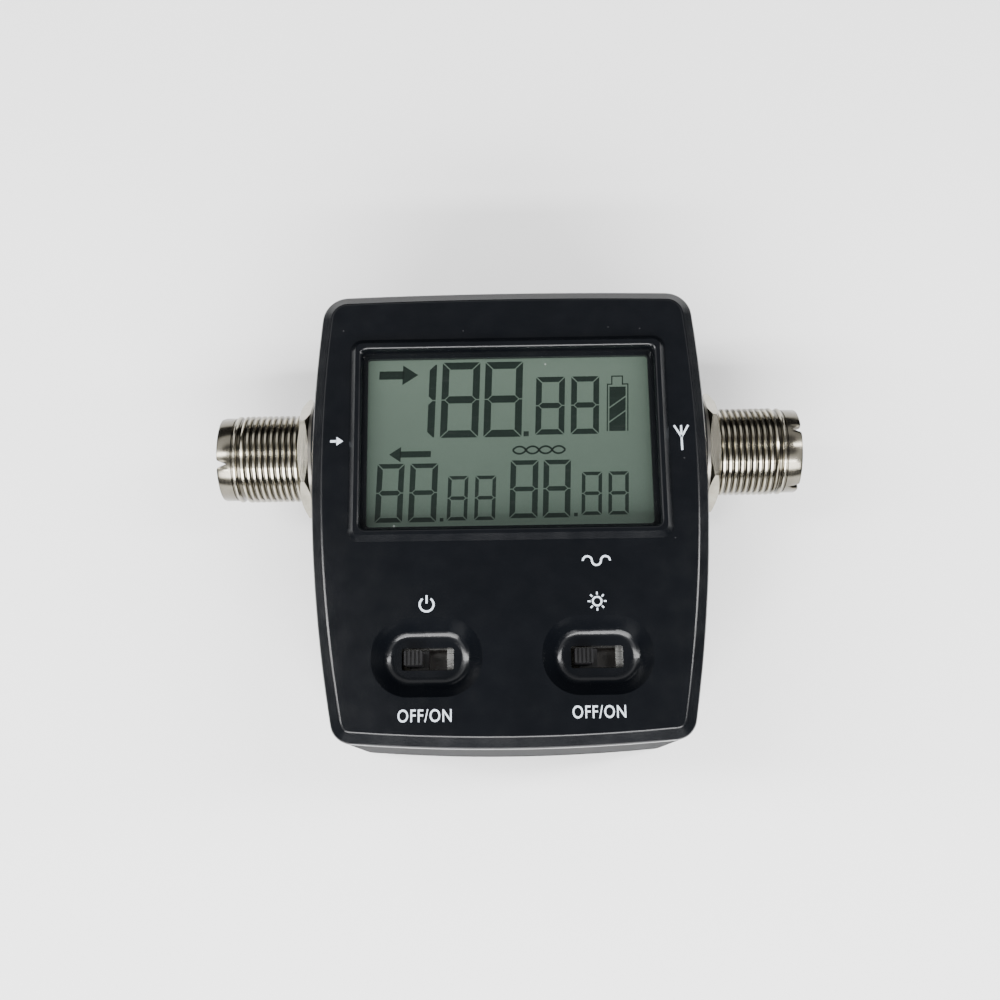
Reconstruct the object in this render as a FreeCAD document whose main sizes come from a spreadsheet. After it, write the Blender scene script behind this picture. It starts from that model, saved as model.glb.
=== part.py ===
"""Pocket SWR and power meter: a deep front shell with a display window and two slide switches,
a shallow rear cover, and a UHF jack on each side wall.

Frame: +Z out of the face, +X towards the antenna jack, +Y towards the top of the face.
The meter lies on its back: Z is zero on the rear cover, and X and Y are zero at mid-case.
Lengths are in millimetres.
"""
import FreeCAD, Part
import math
import os

import Sketcher

os.makedirs("parts", exist_ok=True)
doc = FreeCAD.newDocument("swr_meter")

# ---------------------------------------------------------------- driving dimensions

DRIVING = [
    ("case_width", 67.7, "across the widest part of the belly"),
    ("case_length", 79.2, "top edge to bottom edge, along Y"),
    ("case_depth", 36.0, "back to face"),
    ("belly_radius", 250.0, "radius of the bulging side walls"),
    ("belly_y", 30.1, "widest place below the top edge"),
    ("top_radius", 980.0, "radius of the top wall"),
    ("bottom_radius", 320.0, "radius of the bottom wall"),
    ("corner_radius", 4.6, "upper upright corners of the case"),
    ("corner_low", 3.6, "lower upright corners of the case"),
    ("wall", 2.2, "side walls and back"),
    ("face_wall", 2.4, "wall behind the face"),
    ("rim_width", 1.9, "bevel round the face, across"),
    ("rim_drop", 1.5, "bevel round the face, down"),
    ("rim_round", 0.6, "rounding of the bevel's two edges"),
    ("split_height", 5.5, "joint between rear cover and front shell"),
    ("split_bevel", 0.25, "bevel on the front shell at that joint"),
    ("back_round", 1.2, "rounding of the rear cover's outer edge"),
    ("lip_height", 1.6, "tongue on the rear cover"),
    ("lip_thick", 1.0, "tongue on the rear cover"),
    ("fit_gap", 0.15, "gap between parts that slip together"),
    ("view_width", 48.8, "visible width of the display"),
    ("view_height", 30.2, "visible height of the display"),
    ("view_y", 27.1, "centre of the display below the top edge"),
    ("view_round", 0.6, "corners of the opening"),
    ("pane_margin", 0.8, "ledge that the window pane sits on"),
    ("pane_thick", 1.4, "window pane"),
    ("pane_sink", 0.2, "pane's face below the case's face"),
    ("pane_round", 0.9, "corners of the pane's seat"),
    ("pane_bevel", 0.3, "bevel round the pane"),
    ("frame_margin", 2.1, "raised frame round the pane, across"),
    ("frame_height", 1.1, "raised frame above the face"),
    ("frame_round", 2.2, "corners of the raised frame"),
    ("frame_bevel", 1.0, "bevel on the frame's outer edge"),
    ("frame_soft", 0.6, "rounding of the frame's inner edge"),
    ("switch_x", 14.0, "switches from the centre line"),
    ("switch_y", 14.8, "centre of the switches above the bottom edge"),
    ("dish_length", 18.2, "finger dish, across"),
    ("dish_width", 13.0, "finger dish, up and down"),
    ("dish_round", 6.2, "corners of the finger dish"),
    ("dish_depth", 2.9, "floor of the dish below the face"),
    ("dish_slope", 42.0, "degrees that the dish's wall leans out"),
    ("dish_fillet", 2.0, "rounding where the dish's wall meets its floor"),
    ("dish_floor", 1.2, "thickness under the dish"),
    ("dish_land", 3.0, "floor's underside round the slot"),
    ("knob_length", 3.0, "slide knob along its travel"),
    ("knob_width", 2.4, "slide knob across its travel"),
    ("knob_travel", 4.5, "slide knob, off to on"),
    ("knob_sink", 0.8, "top of the knob below the face"),
    ("knob_rib", 0.35, "depth of the grip grooves"),
    ("knob_round", 0.25, "upright corners of the knob"),
    ("neck_along", 1.4, "knob's neck in the shell's window, along its travel"),
    ("neck_across", 2.2, "knob's neck, across its travel"),
    ("window_end", 1.2, "shell's window short of the case's slot, each end"),
    ("window_side", 0.25, "shell's window short of the case's slot, each side"),
    ("slot_end_gap", 0.55, "slot beyond the knob at each end"),
    ("slot_side_gap", 0.65, "slot beyond the knob at each side"),
    ("jack_y", 25.6, "axis of the jacks below the top edge"),
    ("jack_z", 19.5, "axis of the jacks above the back"),
    ("jack_reach", 17.5, "jack's mouth beyond its seat"),
    ("thread_dia", 15.875, "major diameter of the 5/8-24 thread"),
    ("thread_relief", 0.3, "plain shank under the thread's size, on radius"),
    ("thread_start", 0.15, "thread drawn from here on, beyond the nut"),
    ("thread_length", 11.1, "threaded stretch outside the nut"),
    ("mouth_dia", 15.2, "plain nose in front of the thread"),
    ("mouth_edge", 0.35, "bevel on the nose"),
    ("mouth_neck", 14.4, "groove between the thread and the nose"),
    ("neck_length", 0.6, "groove between the thread and the nose"),
    ("notch_width", 1.4, "notches in the jack's rim"),
    ("notch_depth", 1.1, "notches in the jack's rim"),
    ("bore_dia", 12.7, "inside of the jack"),
    ("flange_dia", 19.0, "jack's flange, inside the case"),
    ("flange_thick", 2.0, "jack's flange"),
    ("nut_flats", 19.05, "nut across flats"),
    ("nut_thick", 1.9, "nut"),
    ("nut_clear", 0.03, "nut's bore outside the thread, on radius"),
    ("washer_dia", 20.0, "washer under the nut"),
    ("washer_thick", 0.7, "washer under the nut"),
    ("seat_dia", 22.0, "flat seat moulded on each side wall"),
    ("seat_proud", 0.95, "seat beyond the widest part of the wall"),
    ("seat_inside", 0.8, "seat inside the wall"),
    ("contact_dia", 5.6, "centre contact, outside"),
    ("contact_bore", 4.0, "centre contact, inside"),
    ("contact_depth", 14.0, "depth of the contact's bore"),
    ("contact_sink", 1.5, "contact's end behind the rim"),
    ("insulator_sink", 8.0, "insulator's face behind the rim"),
    ("insulator_tail", 4.0, "insulator behind the flange"),
    ("tail_inset", 1.5, "insulator's tail inside the jack's bore, on radius"),
    ("contact_tail", 6.0, "contact's solder end behind the flange"),
    ("tray_sheet", 0.8, "sheet of the screening tray"),
    ("tray_width", 23.0, "screening tray, along Y"),
    ("tray_base", 6.2, "underside of the tray"),
    ("tray_top", 1.4, "tray's end plates below the display board"),
    ("tray_side", 3.2, "height of the tray's folded sides"),
    ("coupler_length", 50.0, "coupler board along X"),
    ("coupler_width", 20.0, "coupler board along Y"),
    ("coupler_lift", 2.0, "spacers under the coupler board"),
    ("coupler_inset", 3.5, "coupler board's screws from its ends"),
    ("spacer_dia", 4.0, "spacers under the coupler board"),
    ("board_thick", 1.6, "both circuit boards"),
    ("line_dia", 2.4, "conductor between the two contacts"),
    ("core_dia", 12.5, "toroid cores, outside"),
    ("core_bore", 6.0, "toroid cores, inside"),
    ("core_width", 5.0, "toroid cores, axial"),
    ("core_round", 0.6, "rounding of the cores' outer edges"),
    ("core_gap", 1.5, "current core off the middle, and its sleeve beyond it"),
    ("core_side", 12.0, "voltage core's axis off the middle"),
    ("board_top", 5.6, "display board's upper face below the wall behind the face"),
    ("board_width", 55.2, "display board along X"),
    ("board_upper", 9.0, "display board's shoulder below the top edge"),
    ("board_lower", 8.6, "display board's lower edge above the bottom edge"),
    ("tab_width", 39.0, "display board's upper tab"),
    ("tab_reach", 5.6, "upper tab beyond the shoulder"),
    ("glass_margin_x", 1.9, "display glass beyond the view, each side"),
    ("glass_margin_y", 2.0, "display glass beyond the view, top and bottom"),
    ("glass_lower", 0.9, "display's lower glass"),
    ("glass_upper", 1.1, "display's upper glass"),
    ("glass_gap", 0.1, "glass behind the face's wall"),
    ("strip_width", 1.8, "rubber contact strips"),
    ("holder_wall", 1.05, "display holder"),
    ("shell_length", 12.5, "slide switch along X"),
    ("shell_width", 6.6, "slide switch along Y"),
    ("shell_sheet", 0.4, "sheet of the switch's shell"),
    ("switch_plate", 1.2, "switch's base plate"),
    ("pin_dia", 0.9, "switch terminals"),
    ("pin_pitch", 3.0, "switch terminals"),
    ("pin_length", 2.9, "switch terminals under the base"),
    ("foot_length", 4.8, "slider inside the switch, along X"),
    ("foot_width", 4.8, "slider inside the switch, along Y"),
    ("foot_gap", 0.25, "slider's running gap in the switch"),
    ("boss_x", 10.05, "case screws in from the widest part"),
    ("boss_y", 5.0, "case screws in from the top and bottom edges"),
    ("boss_dia", 6.0, "case screw bosses"),
    ("screw_dia", 2.6, "case screws"),
    ("screw_head", 5.0, "case screws' heads"),
    ("screw_head_height", 1.8, "case screws' heads"),
    ("screw_sink", 0.6, "heads below the back"),
    ("screw_bite", 9.0, "case screws beyond the rear cover"),
    ("post_dia", 4.4, "posts for the display board"),
    ("post_low_x", 3.0, "lower posts in from the board's edge"),
    ("post_low_y", 26.0, "lower posts below the display's centre"),
    ("post_high_x", 4.5, "upper posts in from the tab's edge"),
    ("post_high_y", 6.2, "upper posts below the top edge"),
    ("small_screw", 2.0, "board screws"),
    ("small_head", 3.6, "board screws' heads"),
    ("small_head_height", 1.3, "board screws' heads"),
    ("small_bite", 4.2, "board screws in the posts"),
    ("cell_length", 44.0, "battery along X"),
    ("cell_low_gap", 0.6, "battery from the lower screw bosses"),
    ("cell_high_gap", 4.5, "battery from the screening tray"),
    ("cell_thick", 6.5, "battery"),
    ("cell_round", 2.5, "battery's long edges"),
    ("pad_thick", 0.5, "sticky pad under the battery"),
    ("pad_inset", 3.0, "sticky pad in from the battery's edges"),
    ("rib_thick", 1.2, "ribs round the battery"),
    ("rib_height", 2.8, "ribs round the battery"),
    ("port_width", 7.7, "charging socket along X"),
    ("port_height", 2.9, "charging socket along Z"),
    ("port_length", 8.8, "charging socket along Y"),
    ("port_sink", 0.5, "charging socket's mouth inside the top wall"),
    ("port_sheet", 0.4, "sheet of the charging socket"),
    ("port_wall", 1.5, "closed rear of the charging socket"),
    ("tongue_side", 1.6, "socket's tongue in from its sides"),
    ("tongue_thick", 0.7, "socket's tongue"),
    ("tongue_sink", 1.0, "socket's tongue behind its mouth"),
    ("chip_size", 10.0, "controller"),
    ("chip_thick", 1.4, "controller"),
    ("chip_y", 12.8, "controller's centre above the switches' centre"),
    ("link_length", 10.4, "board link along X"),
    ("link_width", 2.5, "board link along Y"),
    ("link_y", 1.6, "board link in from the coupler board's edge"),
    ("link_block", 6.0, "height of the link's two blocks"),
    ("link_pin", 0.64, "link pins"),
    ("link_pitch", 2.54, "link pins"),
]
NUT_TURN = 8.0      # degrees from +Y to the nut's first corner
NOTCH_TURNS = {"tx": 24.0, "ant": 78.0}     # degrees from +Y to a notch in each rim
ROOT3 = 3.0 ** 0.5

sheet = doc.addObject("Spreadsheet::Sheet", "dims")
for row, (alias, size, meaning) in enumerate(DRIVING, start=1):
    sheet.set("A%d" % row, meaning)
    sheet.set("B%d" % row, str(size))
    sheet.setAlias("B%d" % row, alias)
doc.recompute()


class Size:
    """A length as its spreadsheet formula, with the value that a sketch starts from."""

    def __init__(self, text, value):
        self.text = text
        self.value = value

    def _join(self, sign, other, value):
        return Size("(%s %s %s)" % (self.text, sign, as_size(other).text), value)

    def __add__(self, other):
        return self._join("+", other, self.value + as_size(other).value)

    def __sub__(self, other):
        return self._join("-", other, self.value - as_size(other).value)

    def __mul__(self, other):
        return self._join("*", other, self.value * as_size(other).value)

    def __truediv__(self, other):
        return self._join("/", other, self.value / as_size(other).value)

    def __neg__(self):
        return Size("(-1 * %s)" % self.text, -self.value)


def as_size(number):
    return number if isinstance(number, Size) else Size("%.9g" % number, float(number))


def dim(alias):
    return Size("dims." + alias, float(sheet.get(alias)))


def bind(item, path, size):
    item.setExpression(path, as_size(size).text)


# ---------------------------------------------------------------- building helpers

PARTS = []


def keep(part, label):
    """Name a finished sub-part and list it for writing."""
    part.Label = label
    PARTS.append(part)
    return part


def new_body(name):
    return doc.addObject("PartDesign::Body", name)


def origin_plane(body, role):
    return [item for item in body.Origin.OriginFeatures if item.Role == role][0]


def new_sketch(body, role, offset=None):
    """A sketch on one of the body's own planes, moved along that plane's normal."""
    sketch = body.newObject("Sketcher::SketchObject", body.Name + "_sketch")
    sketch.AttachmentSupport = (origin_plane(body, role), [""])
    sketch.MapMode = "FlatFace"
    if offset is not None:
        bind(sketch, "AttachmentOffset.Base.z", offset)
    return sketch


def constrain(sketch, size, *terms):
    """Add a dimension to a sketch and tie it to the sheet."""
    index = sketch.addConstraint(Sketcher.Constraint(*terms, as_size(size).value))
    sketch.setExpression("Constraints[%d]" % index, as_size(size).text)


def pin_point(sketch, geometry, point, x, y):
    """Fix a point at x, y from the sketch's origin; a plain zero puts it on the axis."""
    for size, kind, axis in ((x, "DistanceX", -2), (y, "DistanceY", -1)):
        if as_size(size).value == 0.0:
            sketch.addConstraint(Sketcher.Constraint("PointOnObject", geometry, point, axis))
        else:
            constrain(sketch, size, kind, -1, 1, geometry, point)


def add_circle(sketch, radius, x=0.0, y=0.0):
    centre = FreeCAD.Vector(as_size(x).value, as_size(y).value, 0)
    ring = Part.Circle(centre, FreeCAD.Vector(0, 0, 1), as_size(radius).value)
    index = sketch.addGeometry(ring, False)
    constrain(sketch, radius, "Radius", index)
    pin_point(sketch, index, 3, x, y)


def add_polygon(sketch, points):
    """A closed outline of straight lines whose corners are all given."""
    spots = [FreeCAD.Vector(as_size(x).value, as_size(y).value, 0) for x, y in points]
    first = None
    for number, spot in enumerate(spots):
        line = Part.LineSegment(spot, spots[(number + 1) % len(spots)])
        index = sketch.addGeometry(line, False)
        first = index if first is None else first
    for number, (x, y) in enumerate(points):
        index = first + number
        after = first + (number + 1) % len(points)
        sketch.addConstraint(Sketcher.Constraint("Coincident", index, 2, after, 1))
        pin_point(sketch, index, 1, x, y)


def add_box(sketch, width, height, x=0.0, y=0.0):
    left, right = as_size(x) - as_size(width) / 2, as_size(x) + as_size(width) / 2
    low, high = as_size(y) - as_size(height) / 2, as_size(y) + as_size(height) / 2
    add_polygon(sketch, [(left, low), (right, low), (right, high), (left, high)])


def arc_between(sketch, centre, radius, start, end):
    """An arc that runs anticlockwise round centre from start to end."""
    ring = Part.Circle(FreeCAD.Vector(*centre, 0), FreeCAD.Vector(0, 0, 1), radius)
    first = math.atan2(start[1] - centre[1], start[0] - centre[0])
    last = math.atan2(end[1] - centre[1], end[0] - centre[0])
    if last < first:
        last += 2 * math.pi
    return sketch.addGeometry(Part.ArcOfCircle(ring, first, last), False)


def add_rounded_box(sketch, width, height, radius, x=0.0, y=0.0):
    """A box with equal round corners, drawn anticlockwise from its lower left corner."""
    width, height, radius, x, y = [as_size(item) for item in (width, height, radius, x, y)]
    left, right = x - width / 2, x + width / 2
    low, high = y - height / 2, y + height / 2
    inner = radius.value
    spans = [
        ((left.value + inner, low.value), (right.value - inner, low.value)),
        ((right.value, low.value + inner), (right.value, high.value - inner)),
        ((right.value - inner, high.value), (left.value + inner, high.value)),
        ((left.value, high.value - inner), (left.value, low.value + inner)),
    ]
    centres = [
        (right.value - inner, low.value + inner),
        (right.value - inner, high.value - inner),
        (left.value + inner, high.value - inner),
        (left.value + inner, low.value + inner),
    ]
    lines = []
    arcs = []
    for number, (start, end) in enumerate(spans):
        edge = Part.LineSegment(FreeCAD.Vector(*start, 0), FreeCAD.Vector(*end, 0))
        lines.append(sketch.addGeometry(edge, False))
        following = spans[(number + 1) % 4][0]
        arcs.append(arc_between(sketch, centres[number], inner, end, following))
    for number in range(4):
        line, arc, following = lines[number], arcs[number], lines[(number + 1) % 4]
        sketch.addConstraint(Sketcher.Constraint("Tangent", line, 2, arc, 1))
        sketch.addConstraint(Sketcher.Constraint("Tangent", arc, 2, following, 1))
        sketch.addConstraint(Sketcher.Constraint("Vertical" if number % 2 else "Horizontal", line))
        if number:
            sketch.addConstraint(Sketcher.Constraint("Equal", arcs[0], arc))
    constrain(sketch, radius, "Radius", arcs[0])
    constrain(sketch, low, "DistanceY", -1, 1, lines[0], 1)
    constrain(sketch, right, "DistanceX", -1, 1, lines[1], 1)
    constrain(sketch, high, "DistanceY", -1, 1, lines[2], 1)
    constrain(sketch, left, "DistanceX", -1, 1, lines[3], 1)


def circles_meet(first, first_radius, second, second_radius, side):
    """The point on the wanted side (+1 or -1 in X) where two circles cross."""
    gap_x, gap_y = second[0] - first[0], second[1] - first[1]
    gap = math.hypot(gap_x, gap_y)
    along = (first_radius ** 2 - second_radius ** 2 + gap ** 2) / (2 * gap)
    across = math.sqrt(first_radius ** 2 - along ** 2)
    middle = (first[0] + along * gap_x / gap, first[1] + along * gap_y / gap)
    spots = [(middle[0] + turn * across * gap_y / gap, middle[1] - turn * across * gap_x / gap)
             for turn in (1, -1)]
    return max(spots, key=lambda spot: side * spot[0])


def add_case_outline(sketch, inset):
    """The barrel outline of the case, moved inwards by inset: four bulging sides, each an arc,
    joined by four tangent corners."""
    inset = as_size(inset)
    upper = dim("corner_radius") - inset
    lower = dim("corner_low") - inset
    rounds = (upper, upper, lower, lower)
    walls = [
        (side_edge - dim("belly_radius"), belly_y, dim("belly_radius") - inset),
        (as_size(0.0), top_edge - dim("top_radius"), dim("top_radius") - inset),
        (dim("belly_radius") - side_edge, belly_y, dim("belly_radius") - inset),
        (as_size(0.0), dim("bottom_radius") - top_edge, dim("bottom_radius") - inset),
    ]
    hubs = []
    for number in range(4):
        (ax, ay, ar), (bx, by, br) = walls[number], walls[(number + 1) % 4]
        side = 1 if number in (0, 3) else -1
        corner = rounds[number].value
        hubs.append(circles_meet((ax.value, ay.value), ar.value - corner,
                                 (bx.value, by.value), br.value - corner, side))

    def touch(wall, hub):
        away = (hub[0] - wall[0].value, hub[1] - wall[1].value)
        scale = wall[2].value / math.hypot(*away)
        return (wall[0].value + away[0] * scale, wall[1].value + away[1] * scale)

    sides = []
    corners = []
    for number, wall in enumerate(walls):
        start, end = touch(wall, hubs[number - 1]), touch(wall, hubs[number])
        sides.append(arc_between(sketch, (wall[0].value, wall[1].value), wall[2].value, start, end))
        following = touch(walls[(number + 1) % 4], hubs[number])
        corners.append(arc_between(sketch, hubs[number], rounds[number].value, end, following))
    for number, wall in enumerate(walls):
        after = sides[(number + 1) % 4]
        sketch.addConstraint(Sketcher.Constraint("Tangent", sides[number], 2, corners[number], 1))
        sketch.addConstraint(Sketcher.Constraint("Tangent", corners[number], 2, after, 1))
        constrain(sketch, wall[2], "Radius", sides[number])
        pin_point(sketch, sides[number], 3, wall[0], wall[1])
        constrain(sketch, rounds[number], "Radius", corners[number])


def pad(body, sketch, length, reversed=False, symmetric=False):
    feature = body.newObject("PartDesign::Pad", body.Name + "_pad")
    feature.Profile = sketch
    feature.Reversed = reversed
    feature.SideType = "Symmetric" if symmetric else "One side"
    bind(feature, "Length", length)
    sketch.Visibility = False
    return feature


def pocket(body, sketch, length=None, reversed=False, symmetric=False, slope=None):
    """A cut of the given length against the sketch's normal, or right through without one."""
    feature = body.newObject("PartDesign::Pocket", body.Name + "_pocket")
    feature.Profile = sketch
    feature.Reversed = reversed
    feature.SideType = "Symmetric" if symmetric else "One side"
    if length is None:
        feature.Type = "ThroughAll"
    else:
        bind(feature, "Length", length)
    if slope is not None:
        bind(feature, "TaperAngle", slope)
    sketch.Visibility = False
    return feature


def revolve(body, sketch):
    """A full turn about the sketch's own X axis."""
    feature = body.newObject("PartDesign::Revolution", body.Name + "_turn")
    feature.Profile = sketch
    feature.ReferenceAxis = (sketch, ["H_Axis"])
    feature.Angle = 360
    sketch.Visibility = False
    return feature


def edges_of(feature, wanted):
    """Names of the feature's edges whose every sampled point passes the test."""
    doc.recompute()
    names = []
    for number, edge in enumerate(feature.Shape.Edges, start=1):
        middle = edge.valueAt((edge.FirstParameter + edge.LastParameter) / 2)
        if all(wanted(spot) for spot in [vertex.Point for vertex in edge.Vertexes] + [middle]):
            names.append("Edge%d" % number)
    return names


def fillet(body, feature, names, radius):
    rounding = body.newObject("PartDesign::Fillet", body.Name + "_fillet")
    rounding.Base = (feature, names)
    bind(rounding, "Radius", radius)
    return rounding


def chamfer(body, feature, names, size, second=None):
    bevel = body.newObject("PartDesign::Chamfer", body.Name + "_chamfer")
    bevel.Base = (feature, names)
    bevel.ChamferType = "Equal distance" if second is None else "Two distances"
    bind(bevel, "Size", size)
    if second is not None:
        bind(bevel, "Size2", second)
    return bevel


def place(part, x=None, y=None, z=None, rotation=None):
    """Move a sub-part to a place tied to the sheet, turned as given."""
    if rotation is not None:
        part.Placement = FreeCAD.Placement(FreeCAD.Vector(0, 0, 0), rotation)
    for axis, size in (("x", x), ("y", y), ("z", z)):
        if size is not None:
            bind(part, "Placement.Base." + axis, size)


def plate(name, width, height, thick, radius=None, x=0.0, y=0.0, z=0.0):
    """A flat piece, square or with round corners, standing thick above z."""
    body = new_body(name)
    sketch = new_sketch(body, "XY_Plane", z)
    if radius is None:
        add_box(sketch, width, height, x, y)
    else:
        add_rounded_box(sketch, width, height, radius, x, y)
    pad(body, sketch, thick)
    return body


# ---------------------------------------------------------------- shared places

MIRROR = (-1, 1)
sink = 0.2      # how far bosses and posts run into the wall that carries them
top_edge = dim("case_length") / 2
side_edge = dim("case_width") / 2
belly_y = top_edge - dim("belly_y")
view_y = top_edge - dim("view_y")
jack_y = top_edge - dim("jack_y")
switch_y = dim("switch_y") - top_edge
face = dim("case_depth")
inner_face = face - dim("face_wall")
split = dim("split_height")
pane_width = dim("view_width") + dim("pane_margin") * 2
pane_height = dim("view_height") + dim("pane_margin") * 2
frame_width = pane_width + dim("frame_margin") * 2
frame_length = pane_height + dim("frame_margin") * 2
pane_seat = dim("pane_thick") + dim("pane_sink")
dish_under = dim("dish_depth") + dim("dish_floor")
slot_length = dim("knob_travel") + dim("knob_length") + dim("slot_end_gap") * 2
slot_width = dim("knob_width") + dim("slot_side_gap") * 2
seat_x = side_edge + dim("seat_proud")
seat_in = side_edge - dim("wall") - dim("seat_inside")
hole_dia = dim("thread_dia") + dim("fit_gap") * 2
nut_x = seat_x + dim("washer_thick")
thread_x = nut_x + dim("nut_thick")
tip_x = seat_x + dim("jack_reach")
flange_x = seat_in - dim("tray_sheet")
board_top = inner_face - dim("board_top")
board_under = board_top - dim("board_thick")
board_half = dim("board_width") / 2
tab_half = dim("tab_width") / 2
tray_edge = jack_y - dim("tray_width") / 2
switch_top = face - dish_under - dim("fit_gap")
glass_top = inner_face - dim("glass_gap")
glass_base = glass_top - dim("glass_upper") - dim("glass_lower")
glass_width = dim("view_width") + dim("glass_margin_x") * 2
glass_height = dim("view_height") + dim("glass_margin_y") * 2
boss_x = side_edge - dim("boss_x")
boss_y = top_edge - dim("boss_y")
BOSSES = [(boss_x * side, boss_y * end) for side in MIRROR for end in MIRROR]
POSTS = [((board_half - dim("post_low_x")) * side, view_y - dim("post_low_y")) for side in MIRROR]
POSTS += [((tab_half - dim("post_high_x")) * side, top_edge - dim("post_high_y")) for side in MIRROR]
cell_low = dim("boss_dia") / 2 + dim("cell_low_gap") - boss_y
cell_width = tray_edge - dim("cell_high_gap") - cell_low
cell_y = cell_low + cell_width / 2
chip_y = switch_y + dim("chip_y")
link_y = jack_y - dim("coupler_width") / 2 + dim("link_y")
coupler_hole = dim("coupler_length") / 2 - dim("coupler_inset")
coupler_base = dim("tray_base") + dim("tray_sheet") + dim("coupler_lift")
coupler_top = coupler_base + dim("board_thick")
port_y = top_edge - dim("port_sink") - dim("port_length") / 2
port_z = board_under - dim("port_height") / 2 - dim("fit_gap") / 3


# ---------------------------------------------------------------- case

def front_housing():
    """Deep moulded shell: bevelled face, raised display frame, dished switch recesses, jack seats,
    screw bosses and board posts."""
    body = new_body("front_housing")

    outline = new_sketch(body, "XY_Plane", split)
    add_case_outline(outline, 0.0)
    solid = pad(body, outline, face - split)
    joint_edges = edges_of(solid, lambda spot: abs(spot.z - split.value) < 1e-4)
    solid = chamfer(body, solid, joint_edges, dim("split_bevel"))
    top_edges = edges_of(solid, lambda spot: abs(spot.z - face.value) < 1e-4)
    bevel = chamfer(body, solid, top_edges, dim("rim_drop"), dim("rim_width"))
    rims = (face.value, face.value - dim("rim_drop").value)
    soft = edges_of(bevel, lambda spot: min(abs(spot.z - level) for level in rims) < 1e-3)
    fillet(body, bevel, soft, dim("rim_round"))

    hollow = new_sketch(body, "XY_Plane", split)
    add_case_outline(hollow, dim("wall"))
    pocket(body, hollow, inner_face - split, reversed=True)

    frame = new_sketch(body, "XY_Plane", face)
    add_rounded_box(frame, frame_width, frame_length, dim("frame_round"), 0.0, view_y)
    raised = pad(body, frame, dim("frame_height"))
    crest = face.value + dim("frame_height").value
    outer = edges_of(raised, lambda spot: abs(spot.z - crest) < 1e-4)
    chamfer(body, raised, outer, dim("frame_bevel"))

    seat = new_sketch(body, "XY_Plane", face + dim("frame_height"))
    add_rounded_box(seat, pane_width, pane_height, dim("pane_round"), 0.0, view_y)
    pocket(body, seat, dim("frame_height") + pane_seat)
    view = new_sketch(body, "XY_Plane", face)
    add_rounded_box(view, dim("view_width"), dim("view_height"), dim("view_round"), 0.0, view_y)
    opened = pocket(body, view, face - inner_face + 1)
    inside = edges_of(opened, lambda spot: abs(spot.z - crest) < 1e-4
                      and abs(spot.x) < pane_width.value / 2 + 0.01
                      and abs(spot.y - view_y.value) < pane_height.value / 2 + 0.01)
    fillet(body, opened, inside, dim("frame_soft"))

    under = new_sketch(body, "XY_Plane", face - dish_under)
    for side in MIRROR:
        add_rounded_box(under, slot_length + dim("dish_land") * 2, slot_width + dim("dish_land") * 2,
                        dim("dish_land"), dim("switch_x") * side, switch_y)
    pad(body, under, dish_under - dim("face_wall") + sink)
    dishes = new_sketch(body, "XY_Plane", face)
    for side in MIRROR:
        add_rounded_box(dishes, dim("dish_length"), dim("dish_width"), dim("dish_round"),
                        dim("switch_x") * side, switch_y)
    dished = pocket(body, dishes, dim("dish_depth"), slope=-dim("dish_slope"))
    floor = face.value - dim("dish_depth").value
    floors = edges_of(dished, lambda spot: abs(spot.z - floor) < 1e-4
                      and abs(spot.y - switch_y.value) < dim("dish_width").value / 2)
    fillet(body, dished, floors, dim("dish_fillet"))
    slots = new_sketch(body, "XY_Plane", face)
    for side in MIRROR:
        add_rounded_box(slots, slot_length, slot_width, 0.4, dim("switch_x") * side, switch_y)
    pocket(body, slots, dish_under + 1)

    for side in MIRROR:
        seats = new_sketch(body, "YZ_Plane", seat_in * side)
        add_circle(seats, dim("seat_dia") / 2, jack_y, dim("jack_z"))
        pad(body, seats, seat_x - seat_in, reversed=side < 0)
    holes = new_sketch(body, "YZ_Plane")
    add_circle(holes, hole_dia / 2, jack_y, dim("jack_z"))
    pocket(body, holes, dim("case_width") * 1.2, symmetric=True)

    bosses = new_sketch(body, "XY_Plane", split)
    for x, y in BOSSES:
        add_circle(bosses, dim("boss_dia") / 2, x, y)
    pad(body, bosses, inner_face - split + sink)
    posts = new_sketch(body, "XY_Plane", board_top)
    for x, y in POSTS:
        add_circle(posts, dim("post_dia") / 2, x, y)
    pad(body, posts, inner_face - board_top + sink)
    pilots = new_sketch(body, "XY_Plane", split)
    for x, y in BOSSES:
        add_circle(pilots, dim("screw_dia") / 2, x, y)
    pocket(body, pilots, dim("screw_bite") + 1.0, reversed=True)
    small = new_sketch(body, "XY_Plane", board_top)
    for x, y in POSTS:
        add_circle(small, dim("small_screw") / 2, x, y)
    pocket(body, small, dim("small_bite") + 0.3, reversed=True)

    port = new_sketch(body, "XZ_Plane", -(port_y))
    add_box(port, dim("port_width") + dim("fit_gap") * 2, dim("port_height") + dim("fit_gap") * 2,
            0.0, port_z)
    pocket(body, port)
    return keep(body, "front_housing")


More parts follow.
